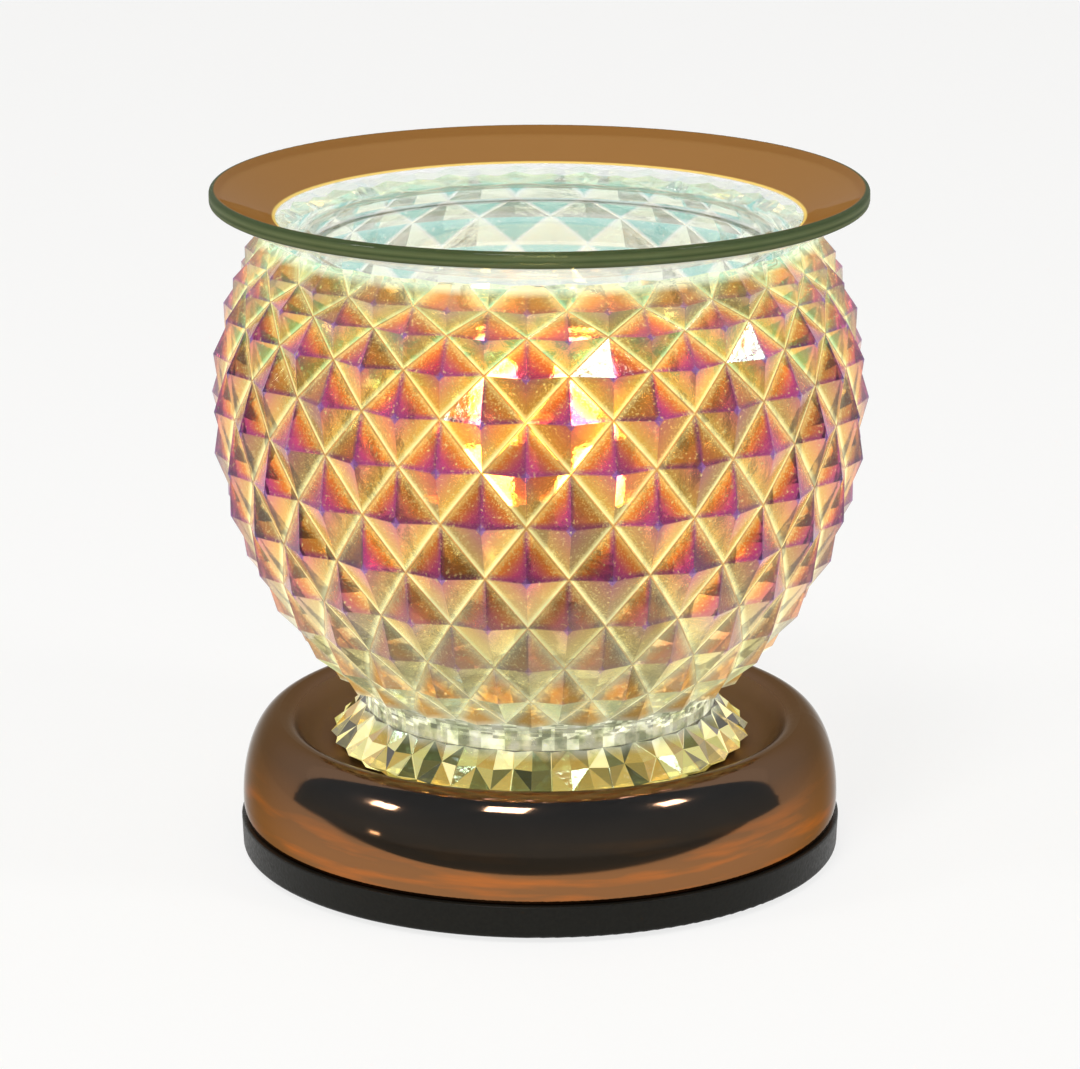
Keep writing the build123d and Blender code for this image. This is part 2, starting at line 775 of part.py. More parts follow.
# Ceramic lamp cap that holds the pins, the reflector's neck and the capsule's pinch
z_socket = z_lamp + cap_skirt_height
z_cap_top = z_lamp + cap_height
socket_radius = lamp_neck_radius + thread_clearance
cap_skirt_radius = lamp_neck_radius + cap_skirt_wall
with BuildPart() as lamp_cap:
    with BuildSketch(Plane.XZ):
        with BuildLine():
            Polyline(
                (0, z_lamp),
                (cap_radius, z_lamp),
                (cap_radius, z_lamp + cap_straight_height),
                (cap_skirt_radius, z_socket),
                (cap_skirt_radius, z_cap_top),
                (socket_radius, z_cap_top),
                (socket_radius, z_socket),
                (0, z_socket),
                close=True,
            )
        make_face()
    revolve(axis=Axis.Z)
    with BuildSketch(Plane.XY.offset(z_lamp)):
        with GridLocations(pin_spacing, 0, 2, 1):
            Circle(pin_radius + thread_clearance)
    extrude(amount=pin_embed, mode=Mode.SUBTRACT)
    with BuildSketch(Plane.XY.offset(z_socket)):
        Rectangle(pinch_width + 2 * thread_clearance, pinch_thickness + 2 * thread_clearance)
    extrude(amount=-cap_pinch_depth, mode=Mode.SUBTRACT)
lamp_cap.part.label = "lamp_cap"
export_step(lamp_cap.part, "parts/lamp_cap.step")

# Pressed glass reflector: neck, bell and rim with the lens rebate
z_bell = z_socket + lamp_neck_height
z_rim = z_bell + reflector_height
z_rim_top = z_rim + reflector_rim_height
bell_middle_radius = (lamp_neck_radius + reflector_rim_radius) / 2 + reflector_belly
bell_middle_z = (z_bell + z_rim) / 2
lens_seat_radius = reflector_rim_radius - lens_seat_width
z_lens = z_rim_top - lens_thickness


def bell_curve(inset):
    """Bell of the reflector from the neck to the rim, set in by the wall's thickness."""
    return ThreePointArc(
        (lamp_neck_radius - inset, z_bell),
        (bell_middle_radius - inset, bell_middle_z),
        (reflector_rim_radius - inset, z_rim),
    )


lens_ledge_radius = reflector_rim_radius - reflector_wall - lens_seat_width
with BuildPart() as lamp_reflector:
    with BuildSketch(Plane.XZ):
        with BuildLine():
            outside = bell_curve(0)
            inside = bell_curve(reflector_wall)
            Polyline(outside @ 0, (lamp_neck_radius, z_socket))
            Polyline((lamp_neck_radius, z_socket), (lamp_neck_radius - reflector_wall, z_socket), inside @ 0)
            Polyline(
                outside @ 1,
                (reflector_rim_radius, z_rim_top),
                (lens_seat_radius, z_rim_top),
                (lens_seat_radius, z_lens),
                (lens_ledge_radius, z_lens),
                (lens_ledge_radius, z_rim),
                inside @ 1,
            )
        make_face()
    revolve(axis=Axis.Z)
lamp_reflector.part.label = "lamp_reflector"
export_step(lamp_reflector.part, "parts/lamp_reflector.step")

# Front glass of the lamp
with BuildPart() as lamp_lens:
    with BuildSketch(Plane.XY.offset(z_lens)):
        Circle(lens_seat_radius - thread_clearance)
    extrude(amount=lens_thickness)
    chamfer(lamp_lens.edges().group_by(Axis.Z)[-1], lens_thickness / 4)
lamp_lens.part.label = "lamp_lens"
export_step(lamp_lens.part, "parts/lamp_lens.step")

# Quartz capsule with a round end and a flat pinch in the cap
z_capsule_top = z_socket + capsule_height
with BuildPart() as lamp_capsule:
    with BuildSketch(Plane.XY.offset(z_socket)):
        Circle(capsule_radius)
    extrude(amount=capsule_height)
    fillet(lamp_capsule.edges().group_by(Axis.Z)[-1], capsule_radius / 2)
    with BuildSketch(Plane.XY.offset(z_socket + capsule_wall)):
        Circle(capsule_radius - capsule_wall)
    extrude(amount=capsule_height - 2 * capsule_wall, mode=Mode.SUBTRACT)
    with BuildSketch(Plane.XY.offset(z_socket)):
        Rectangle(pinch_width, pinch_thickness)
    extrude(amount=-cap_pinch_depth)
lamp_capsule.part.label = "lamp_capsule"
export_step(lamp_capsule.part, "parts/lamp_capsule.step")

# Filament across the capsule on two legs from the pinch
z_filament = z_capsule_top - filament_drop
with BuildPart() as lamp_filament:
    with BuildSketch(Plane.YZ.offset(-filament_length / 2)):
        with Locations((0, z_filament)):
            Circle(filament_radius)
    extrude(amount=filament_length)
    with BuildSketch(Plane.XY.offset(z_socket + capsule_wall)):
        with GridLocations(filament_length - 2 * filament_radius, 0, 2, 1):
            Circle(filament_leg_radius)
    extrude(amount=z_filament - z_socket - capsule_wall)
lamp_filament.part.label = "lamp_filament"
export_step(lamp_filament.part, "parts/lamp_filament.step")

# Ring tag under the stem's lower nut, which makes the metal base the touch switch
with BuildPart() as touch_tag:
    with BuildSketch(Plane.XY.offset(z_tag)):
        Circle(tag_ring_radius)
        with Locations((-tag_reach / 2, 0)):
            Rectangle(tag_reach, tag_tongue_width)
        Circle(stem_hole_radius, mode=Mode.SUBTRACT)
    extrude(amount=tag_thickness)
touch_tag.part.label = "touch_tag"
export_step(touch_tag.part, "parts/touch_tag.step")

# Dimmer case: an open box on the pan with bosses for the board and holes for the leads
lead_hole_radius = lead_radius + lead_room
lead_line = dimmer_length / 2 - lead_edge_inset
dimmer_lead_x = (-lead_line, lead_line / 2, lead_line)
z_case_top = z_pan_floor + dimmer_height
board_length = dimmer_length - 2 * dimmer_wall - 2 * board_margin
board_width = dimmer_width - 2 * dimmer_wall - 2 * board_margin
with BuildPart() as dimmer_case:
    with BuildSketch(Plane.XY.offset(z_pan_floor)):
        with Locations((0, dimmer_y)):
            RectangleRounded(dimmer_length, dimmer_width, dimmer_corner_round)
    extrude(amount=dimmer_height)
    with BuildSketch(Plane.XY.offset(z_pan_floor + dimmer_wall)):
        with Locations((0, dimmer_y)):
            Rectangle(dimmer_length - 2 * dimmer_wall, dimmer_width - 2 * dimmer_wall)
    extrude(amount=dimmer_height, mode=Mode.SUBTRACT)
    with BuildSketch(Plane.XY.offset(z_pan_floor + dimmer_wall)):
        with Locations((0, dimmer_y)):
            with GridLocations(board_length - board_boss, board_width - board_boss, 2, 2):
                Rectangle(board_boss, board_boss)
    extrude(amount=board_lift)
    with BuildSketch(Plane.XZ.offset(dimmer_near_edge)):
        with Locations(*[(x, z_lead) for x in dimmer_lead_x]):
            Circle(lead_hole_radius)
    extrude(amount=dimmer_wall, mode=Mode.SUBTRACT)
dimmer_case.part.label = "dimmer_case"
export_step(dimmer_case.part, "parts/dimmer_case.step")

# Snap lid of the dimmer case, with a lip inside the walls
with BuildPart() as dimmer_lid:
    with BuildSketch(Plane.XY.offset(z_case_top)):
        with Locations((0, dimmer_y)):
            RectangleRounded(dimmer_length, dimmer_width, dimmer_corner_round)
    extrude(amount=lid_thickness)
    lip_length = dimmer_length - 2 * dimmer_wall - 2 * slip_clearance
    lip_width = dimmer_width - 2 * dimmer_wall - 2 * slip_clearance
    with BuildSketch(Plane.XY.offset(z_case_top)):
        with Locations((0, dimmer_y)):
            Rectangle(lip_length, lip_width)
            Rectangle(lip_length - 2 * lid_lip, lip_width - 2 * lid_lip, mode=Mode.SUBTRACT)
    extrude(amount=-lid_lip)
dimmer_lid.part.label = "dimmer_lid"
export_step(dimmer_lid.part, "parts/dimmer_lid.step")

# Dimmer board on the case's bosses
with BuildPart() as dimmer_board:
    with BuildSketch(Plane.XY.offset(z_board)):
        with Locations((0, dimmer_y)):
            Rectangle(board_length, board_width)
    extrude(amount=board_thickness)
dimmer_board.part.label = "dimmer_board"
export_step(dimmer_board.part, "parts/dimmer_board.step")

# Board parts stand in a row, evenly spread along the board
component_y = dimmer_y - board_width / 2 + component_margin
component_lengths = [triac_size[0], 2 * choke_radius, capacitor_size[0], chip_size[0]]
component_gap = (board_length - sum(component_lengths)) / (len(component_lengths) + 1)
component_spots = []
component_end = -board_length / 2
for component_length in component_lengths:
    component_start = component_end + component_gap
    component_end = component_start + component_length
    component_spots.append(((component_start + component_end) / 2, component_y))
triac_spot, choke_spot, capacitor_spot, chip_spot = component_spots

# Triac lying on the board with its metal tab
with BuildPart() as dimmer_triac:
    with BuildSketch(Plane.XY.offset(z_board_top)):
        with Locations(triac_spot):
            Rectangle(triac_size[0], triac_size[1])
    extrude(amount=triac_size[2])
    with BuildSketch(Plane.XY.offset(z_board_top)):
        with Locations(triac_spot):
            Rectangle(triac_size[0], triac_size[1] + 2 * tab_thickness)
    extrude(amount=tab_thickness)
dimmer_triac.part.label = "dimmer_triac"
export_step(dimmer_triac.part, "parts/dimmer_triac.step")

# Film capacitor
with BuildPart() as dimmer_capacitor:
    with BuildSketch(Plane.XY.offset(z_board_top)):
        with Locations(capacitor_spot):
            Rectangle(capacitor_size[0], capacitor_size[1])
    extrude(amount=capacitor_size[2])
    fillet(dimmer_capacitor.faces().sort_by(Axis.Z)[-1].edges(), capacitor_round)
dimmer_capacitor.part.label = "dimmer_capacitor"
export_step(dimmer_capacitor.part, "parts/dimmer_capacitor.step")

# Drum choke
with BuildPart() as dimmer_choke:
    with BuildSketch(Plane.XY.offset(z_board_top)):
        with Locations(choke_spot):
            Circle(choke_radius)
            Circle(choke_core_radius, mode=Mode.SUBTRACT)
    extrude(amount=choke_height)
    chamfer(dimmer_choke.edges().group_by(Axis.Z)[-1], choke_core_radius / 3)
dimmer_choke.part.label = "dimmer_choke"
export_step(dimmer_choke.part, "parts/dimmer_choke.step")

# Touch control chip with its end notch
with BuildPart() as dimmer_chip:
    with BuildSketch(Plane.XY.offset(z_board_top)):
        with Locations(chip_spot):
            Rectangle(chip_size[0], chip_size[1])
            with Locations((-chip_size[0] / 2, 0)):
                Circle(chip_notch_radius, mode=Mode.SUBTRACT)
    extrude(amount=chip_size[2])
dimmer_chip.part.label = "dimmer_chip"
export_step(dimmer_chip.part, "parts/dimmer_chip.step")

# Terminal block with a tunnel for each brass insert and a well over each screw
z_terminal_top = z_terminal + terminal_height
screw_spots = [
    (x, terminal_y + y)
    for x in (-terminal_pitch / 2, terminal_pitch / 2)
    for y in (-terminal_screw_spacing / 2, terminal_screw_spacing / 2)
]
insert_far_end = terminal_y + insert_length / 2
with BuildPart() as terminal_block:
    with BuildSketch(Plane.XY.offset(z_terminal)):
        with Locations((0, terminal_y)):
            Rectangle(terminal_length, terminal_width)
    extrude(amount=terminal_height)
    with BuildSketch(Plane.XZ.offset(-terminal_far_edge)):
        with Locations((-terminal_pitch / 2, z_insert), (terminal_pitch / 2, z_insert)):
            Circle(insert_radius + thread_clearance)
    extrude(amount=terminal_width, mode=Mode.SUBTRACT)
    with BuildSketch(Plane.XY.offset(z_insert)):
        with Locations(*screw_spots):
            Circle(terminal_well_radius)
    extrude(amount=terminal_height, mode=Mode.SUBTRACT)
    with BuildSketch(Plane.XY.offset(z_terminal)):
        with Locations((0, terminal_y)):
            Circle(fixing_radius + slip_clearance)
    extrude(amount=terminal_height, mode=Mode.SUBTRACT)
terminal_block.part.label = "terminal_block"
export_step(terminal_block.part, "parts/terminal_block.step")

# Brass inserts
with BuildPart() as terminal_inserts:
    with BuildSketch(Plane.XZ.offset(-insert_far_end)):
        with Locations((-terminal_pitch / 2, z_insert), (terminal_pitch / 2, z_insert)):
            Circle(insert_radius)
            Circle(insert_bore_radius, mode=Mode.SUBTRACT)
    extrude(amount=insert_length)
    with BuildSketch(Plane.XY.offset(z_insert)):
        with Locations(*screw_spots):
            Circle(terminal_screw_radius + thread_clearance)
    extrude(amount=insert_radius, mode=Mode.SUBTRACT)
terminal_inserts.part.label = "terminal_inserts"
export_step(terminal_inserts.part, "parts/terminal_inserts.step")

# Clamping screws of the terminals, screwed down on the leads
z_screw_tip = z_insert + lead_radius
z_screw_head = z_insert + insert_radius
with BuildPart() as terminal_screws:
    with BuildSketch(Plane.XY.offset(z_screw_tip)):
        with Locations(*screw_spots):
            Circle(terminal_screw_radius)
    extrude(amount=z_screw_head - z_screw_tip)
    with BuildSketch(Plane.XY.offset(z_screw_head)):
        with Locations(*screw_spots):
            Circle(terminal_screw_head_radius)
    extrude(amount=terminal_screw_head_height)
terminal_screws.part.label = "terminal_screws"
export_step(terminal_screws.part, "parts/terminal_screws.step")

# Screw that fixes the terminal block to the pan
with BuildPart() as terminal_fixing:
    with BuildSketch(Plane.XY.offset(z_terminal - fixing_reach)):
        with Locations((0, terminal_y)):
            Circle(fixing_radius)
    extrude(amount=fixing_reach + terminal_height)
    with BuildSketch(Plane.XY.offset(z_terminal_top)):
        with Locations((0, terminal_y)):
            Circle(fixing_head_radius)
    extrude(amount=fixing_head_height)
terminal_fixing.part.label = "terminal_fixing"
export_step(terminal_fixing.part, "parts/terminal_fixing.step")

# Live lead: lampholder, down the stem, to the dimmer
lead_end_y = -dimmer_near_edge - lead_inside_case
z_wire_bend = z_stem_top + lead_turn_height
z_stem_entry = z_stem_top - stem_overhang
lamp_lead_live = lead(
    [
        (wire_x, wire_y, z_pocket),
        (wire_x, wire_y, z_wire_bend),
        (stem_lane, 0, z_stem_entry),
        (stem_lane, 0, z_lead),
        (dimmer_lead_x[1], -lead_straight, z_lead),
        (dimmer_lead_x[1], lead_end_y, z_lead),
    ],
    [3.0, 3.0, 4.0, 8.0],
)
lamp_lead_live.part.label = "lamp_lead_live"
export_step(lamp_lead_live.part, "parts/lamp_lead_live.step")

# Neutral lead: lampholder, down the stem, to the terminal block
lamp_lead_neutral = lead(
    [
        (-wire_x, -wire_y, z_pocket),
        (-wire_x, -wire_y, z_wire_bend),
        (-stem_lane, 0, z_stem_entry),
        (-stem_lane, 0, z_insert),
        (-terminal_pitch / 2, 13.0, z_insert),
        (-terminal_pitch / 2, terminal_y, z_insert),
    ],
    [3.0, 3.0, 3.0, 8.0],
)
lamp_lead_neutral.part.label = "lamp_lead_neutral"
export_step(lamp_lead_neutral.part, "parts/lamp_lead_neutral.step")

# Supply lead: terminal block to the dimmer
supply_lead = lead(
    [
        (terminal_pitch / 2, terminal_y, z_insert),
        (terminal_pitch / 2, 18.0, z_insert),
        (dimmer_lead_x[2], 4.0, z_lead),
        (dimmer_lead_x[2], lead_end_y, z_lead),
    ],
    [10.0, 10.0],
)
supply_lead.part.label = "supply_lead"
export_step(supply_lead.part, "parts/supply_lead.step")

# Touch lead: ring tag to the dimmer, soldered under the tag's tongue
z_touch = z_tag - lead_radius
touch_lead = lead(
    [
        (-nut_across_flats / 2 - touch_lead_start, 0, z_touch),
        (dimmer_lead_x[0] - touch_lead_swing, 0, z_touch),
        (dimmer_lead_x[0] - touch_lead_swing, -touch_lead_drop, z_lead),
        (dimmer_lead_x[0], -lead_straight, z_lead),
        (dimmer_lead_x[0], lead_end_y, z_lead),
    ],
    [4.0, 3.0, 4.0],
)
touch_lead.part.label = "touch_lead"
export_step(touch_lead.part, "parts/touch_lead.step")
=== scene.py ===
import math
import random

import bmesh
import bpy
from mathutils import Matrix, Vector


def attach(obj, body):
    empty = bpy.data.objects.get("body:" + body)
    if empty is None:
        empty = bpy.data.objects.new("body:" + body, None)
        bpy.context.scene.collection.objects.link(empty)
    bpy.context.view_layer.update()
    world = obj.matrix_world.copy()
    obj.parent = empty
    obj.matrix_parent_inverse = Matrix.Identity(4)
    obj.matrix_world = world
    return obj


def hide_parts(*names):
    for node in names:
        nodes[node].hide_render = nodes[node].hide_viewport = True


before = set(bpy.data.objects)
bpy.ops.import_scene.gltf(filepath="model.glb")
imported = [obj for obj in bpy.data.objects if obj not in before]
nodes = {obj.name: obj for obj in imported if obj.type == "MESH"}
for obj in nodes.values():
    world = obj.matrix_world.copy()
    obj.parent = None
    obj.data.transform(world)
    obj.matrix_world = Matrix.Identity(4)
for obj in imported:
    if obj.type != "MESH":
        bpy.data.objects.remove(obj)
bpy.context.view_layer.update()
scene = bpy.context.scene
scene.view_settings.view_transform = "Standard"

# Camera
# The photograph looks slightly down on the warmer through a long lens, from a little
# to the right of the diamonds' centre column. No shift and no depth of field.
photo_width_px = 1080
focal_px = 4615.6
sensor_mm = 36.0
camera_pitch = 0.27082
camera_roll = 0.0010
camera_turn = math.radians(2.3)
camera_place = Vector((0.00005, -0.8934, 0.31296))
right = Vector((1, 0, 0))
up = Vector((0, math.sin(camera_pitch), math.cos(camera_pitch)))
back = Vector((0, -math.cos(camera_pitch), math.sin(camera_pitch)))
rolled_right = math.cos(camera_roll) * right - math.sin(camera_roll) * up
rolled_up = math.sin(camera_roll) * right + math.cos(camera_roll) * up
camera_data = bpy.data.cameras.new("photo_camera")
camera_data.sensor_width = sensor_mm
camera_data.lens = focal_px / photo_width_px * sensor_mm
camera = bpy.data.objects.new("photo_camera", camera_data)
scene.collection.objects.link(camera)
camera_axes = Matrix((rolled_right, rolled_up, back)).transposed().to_4x4()
camera.matrix_world = Matrix.Rotation(camera_turn, 4, "Z") @ Matrix.Translation(camera_place) @ camera_axes
scene.camera = camera


# Table and backdrop
# A pale table top runs into a pale wall in one sweep. The camera, the metal and the glass see it
# nearly white, and it keeps the warmer's shadow. The apron in front of the warmer isn't mirrored, so
# that the base's flank mirrors the dark screen there.
def new_material(name, settings):
    """New material with its node tree and its Principled shader, whose named sockets are set."""
    material = bpy.data.materials.new(name)
    material.use_nodes = True
    tree = material.node_tree
    shader = tree.nodes["Principled BSDF"]
    for socket, value in settings.items():
        shader.inputs[socket].default_value = value
    return material, tree, shader


def add_node(tree, kind, **inputs):
    """New shader node with its named input sockets set."""
    node = tree.nodes.new(kind)
    for socket, value in inputs.items():
        node.inputs[socket].default_value = value
    return node


def background_rays(tree):
    """One for camera, glossy and transmission rays, which all see the background, else zero."""
    rays = add_node(tree, "ShaderNodeLightPath")
    total = rays.outputs["Is Camera Ray"]
    for kind in ("Is Glossy Ray", "Is Transmission Ray"):
        larger = tree.nodes.new("ShaderNodeMath")
        larger.operation = "MAXIMUM"
        tree.links.new(total, larger.inputs[0])
        tree.links.new(rays.outputs[kind], larger.inputs[1])
        total = larger.outputs["Value"]
    return total


sweep_half_width = 12.0
sweep_front = -0.124
sweep_bend_start = 1.6
sweep_bend_radius = 0.8
sweep_height = 3.0
sweep_bend_steps = 16
apron_front = -12.0
table_white = (0.86, 0.86, 0.85, 1)
table_glow = (1.0, 1.0, 0.995, 1)
table_glow_share = 0.80
sweep_profile = [(sweep_front, 0.0), (sweep_bend_start, 0.0)]
for step in range(1, sweep_bend_steps + 1):
    turn = math.pi / 2 * step / sweep_bend_steps
    sweep_profile.append(
        (
            sweep_bend_start + sweep_bend_radius * math.sin(turn),
            sweep_bend_radius * (1 - math.cos(turn)),
        )
    )
sweep_profile.append((sweep_bend_start + sweep_bend_radius, sweep_height))
sweep_mesh = bmesh.new()
sweep_rows = [
    [sweep_mesh.verts.new((side * sweep_half_width, y, z)) for side in (-1, 1)] for y, z in sweep_profile
]
for low, high in zip(sweep_rows, sweep_rows[1:]):
    sweep_mesh.faces.new((low[0], low[1], high[1], high[0])).smooth = True
sweep_data = bpy.data.meshes.new("table_sweep")
sweep_mesh.to_mesh(sweep_data)
sweep_mesh.free()
table_sweep = bpy.data.objects.new("table_sweep", sweep_data)
scene.collection.objects.link(table_sweep)
apron_corners = [
    (-sweep_half_width, apron_front, 0.0),
    (sweep_half_width, apron_front, 0.0),
    (sweep_half_width, sweep_front, 0.0),
    (-sweep_half_width, sweep_front, 0.0),
]
apron_data = bpy.data.meshes.new("table_apron")
apron_data.from_pydata(apron_corners, [], [(0, 1, 2, 3)])
table_apron = bpy.data.objects.new("table_apron", apron_data)
scene.collection.objects.link(table_apron)
table_apron.visible_glossy = False
table_paint, tree, shader = new_material(
    "table_paint", {"Base Color": table_white, "Roughness": 0.9, "Specular IOR Level": 0.0}
)
table_light = add_node(tree, "ShaderNodeEmission", Color=table_glow, Strength=1.0)
table_seen = add_node(tree, "ShaderNodeMixShader", Fac=table_glow_share)
tree.links.new(shader.outputs["BSDF"], table_seen.inputs[1])
tree.links.new(table_light.outputs["Emission"], table_seen.inputs[2])
table_mix = add_node(tree, "ShaderNodeMixShader")
tree.links.new(background_rays(tree), table_mix.inputs["Fac"])
tree.links.new(shader.outputs["BSDF"], table_mix.inputs[1])
tree.links.new(table_seen.outputs["Shader"], table_mix.inputs[2])
tree.links.new(table_mix.outputs["Shader"], tree.nodes["Material Output"].inputs["Surface"])
sweep_data.materials.append(table_paint)
apron_data.materials.append(table_paint)

# Room light
# A soft grey room that the camera, the metal and the glass see white, with three window panes
# and a far lamp whose reflections stand on the base's crest.
room_grey = (0.42, 0.41, 0.40, 1)
room_white = (0.965, 0.965, 0.962, 1)
daylight = (1.0, 0.98, 0.95)
lamplight = (1.0, 0.95, 0.85)
window_distance = 2.0
window_aim = Vector((0, 0, 0.05))


def outward(bearing, lift):
    """Direction from the warmer at a bearing from the front and a height angle, in degrees."""
    across = math.radians(bearing)
    raised = math.radians(lift)
    return Vector(
        (math.cos(raised) * math.sin(across), -math.cos(raised) * math.cos(across), math.sin(raised))
    )


def window_lamp(name, bearing, lift, width, height, watts, tint):
    """Rectangular lamp that stands at two angles from the warmer and is turned to it."""
    data = bpy.data.lights.new(name, "AREA")
    data.shape = "RECTANGLE"
    data.size = width
    data.size_y = height
    data.energy = watts
    data.color = tint
    lamp = bpy.data.objects.new(name, data)
    scene.collection.objects.link(lamp)
    lamp.location = window_distance * outward(bearing, lift)
    lamp.rotation_euler = (window_aim - lamp.location).to_track_quat("-Z", "Y").to_euler()


world = bpy.data.worlds.new("room")
world.use_nodes = True
scene.world = world
tree = world.node_tree
room = tree.nodes["Background"]
room.inputs["Color"].default_value = room_grey
room.inputs["Strength"].default_value = 1.0
room_seen = add_node(tree, "ShaderNodeBackground", Color=room_white, Strength=1.0)
room_mix = add_node(tree, "ShaderNodeMixShader")
tree.links.new(background_rays(tree), room_mix.inputs["Fac"])
tree.links.new(room.outputs["Background"], room_mix.inputs[1])
tree.links.new(room_seen.outputs["Background"], room_mix.inputs[2])
tree.links.new(room_mix.outputs["Shader"], tree.nodes["World Output"].inputs["Surface"])
window_lamp("window_left", bearing=-65.3, lift=30.1, width=0.34, height=0.22, watts=7, tint=daylight)
window_lamp("window_right", bearing=65.2, lift=42.9, width=0.30, height=0.26, watts=7, tint=daylight)
window_lamp("skylight", bearing=-15.4, lift=56.0, width=0.44, height=0.42, watts=16, tint=daylight)
window_lamp("far_lamp", bearing=-61.8, lift=3.4, width=0.14, height=0.06, watts=0.2, tint=lamplight)

# Dark screen
# A dark curved cloth stands in front, beyond the lamps and the camera. It shows only in mirrored
# light, where it gives the base's flank its dark band.
screen_radius = 2.5
screen_half_turn = 105
screen_low = -50
screen_high = 84
screen_columns = 36
screen_rows = 20
screen_blue = (0.24, 0.40, 0.66, 1)
screen_form = bmesh.new()
screen_grid = []
for row in range(screen_rows + 1):
    lift = screen_low + (screen_high - screen_low) * row / screen_rows
    line = []
    for column in range(screen_columns + 1):
        bearing = screen_half_turn * (2 * column / screen_columns - 1)
        line.append(screen_form.verts.new(screen_radius * outward(bearing, lift)))
    screen_grid.append(line)
for low, high in zip(screen_grid, screen_grid[1:]):
    for i in range(screen_columns):
        screen_form.faces.new((low[i], low[i + 1], high[i + 1], high[i])).smooth = True
screen_data = bpy.data.meshes.new("dark_screen")
screen_form.to_mesh(screen_data)
screen_form.free()
dark_screen = bpy.data.objects.new("dark_screen", screen_data)
scene.collection.objects.link(dark_screen)
dark_screen.visible_camera = False
dark_screen.visible_diffuse = False
dark_screen.visible_transmission = False
dark_screen.visible_shadow = False
screen_cloth, tree, shader = new_material(
    "screen_cloth", {"Base Color": screen_blue, "Roughness": 1.0, "Specular IOR Level": 0.0}
)
screen_data.materials.append(screen_cloth)

# Bottom pan and pads
# The pan is moulded black plastic with a satin grain. Zinc-plated screws go through it into the
# cover's posts, and four soft rubber pads are glued under it.
noise_low = 0.3
noise_high = 0.7
grain_height = 0.0002


def node_coordinates(tree):
    """Place on the piece in the frame of the whole warmer, in metres."""
    return add_node(tree, "ShaderNodeTexCoord").outputs["Object"]


def noise(tree, scale, detail, place=None):
    """Cloudy value over the piece, with its number of clouds per metre."""
    cloud = add_node(tree, "ShaderNodeTexNoise", Scale=scale, Detail=detail)
    tree.links.new(node_coordinates(tree) if place is None else place, cloud.inputs["Vector"])
    return cloud.outputs["Fac"]


def grey(level):
    """Colour without hue, which also stands for a plain share."""
    return (level, level, level, 1)


def stepped(tree, value, stops, low=0.0, high=1.0):
    """Ramp along a value from its low to its high end, through pairs of a place and a colour or share."""
    scale = tree.nodes.new("ShaderNodeMapRange")
    scale.inputs["From Min"].default_value = low
    scale.inputs["From Max"].default_value = high
    tree.links.new(value, scale.inputs["Value"])
    ramp = tree.nodes.new("ShaderNodeValToRGB")
    while len(ramp.color_ramp.elements) < len(stops):
        ramp.color_ramp.elements.new(0.5)
    for element, (place, look) in zip(ramp.color_ramp.elements, stops):
        element.position = (place - low) / (high - low)
        element.color = look if isinstance(look, tuple) else grey(look)
    tree.links.new(scale.outputs["Result"], ramp.inputs["Fac"])
    return ramp.outputs["Color"]


def grain(tree, shader, scale, rough, bump, detail=4.0):
    """Fine unevenness that moves the roughness between two values and lifts the surface."""
    unevenness = noise(tree, scale, detail)
    spread = tree.nodes.new("ShaderNodeMapRange")
    spread.inputs["From Min"].default_value = noise_low
    spread.inputs["From Max"].default_value = noise_high
    spread.inputs["To Min"].default_value = rough[0]
    spread.inputs["To Max"].default_value = rough[1]
    tree.links.new(unevenness, spread.inputs["Value"])
    tree.links.new(spread.outputs["Result"], shader.inputs["Roughness"])
    lift = add_node(tree, "ShaderNodeBump", Strength=bump, Distance=grain_height)
    tree.links.new(unevenness, lift.inputs["Height"])
    tree.links.new(lift.outputs["Normal"], shader.inputs["Normal"])
    return unevenness


def tinted(name, colour, scale, rough, bump, metallic=0.0, spread=0.12):
    """Opaque finish whose colour, gloss and surface vary finely over the piece."""
    material, tree, shader = new_material(name, {"Metallic": metallic})
    unevenness = grain(tree, shader, scale, rough, bump)
    dark = tuple(c * (1 - spread) for c in colour) + (1,)
    light = tuple(min(1.0, c * (1 + spread)) for c in colour) + (1,)
    tone = stepped(tree, unevenness, [(noise_low, dark), (noise_high, light)])
    tree.links.new(tone, shader.inputs["Base Color"])
    return material


def finish(material, *names):
    """Gives carried-over pieces their material."""
    for name in names:
        nodes[name].data.materials.clear()
        nodes[name].data.materials.append(material)


pan_gloss = 0.14
satin_black = tinted(
    "satin_black", (0.011, 0.0105, 0.008), scale=1400, rough=(0.32, 0.5), bump=0.25, spread=0.2
)
satin_black.node_tree.nodes["Principled BSDF"].inputs["Specular IOR Level"].default_value = pan_gloss
finish(satin_black, "base_pan")
soft_rubber = tinted(
    "soft_rubber", (0.030, 0.029, 0.028), scale=700, rough=(0.6, 0.85), bump=0.5, spread=0.25
)
finish(soft_rubber, "foot_pad_1", "foot_pad_2", "foot_pad_3", "foot_pad_4")
zinc_plate = tinted("zinc_plate", (0.60, 0.61, 0.62), scale=420, rough=(0.22, 0.42), bump=0.15, metallic=1.0)
finish(zinc_plate, "pan_screws")

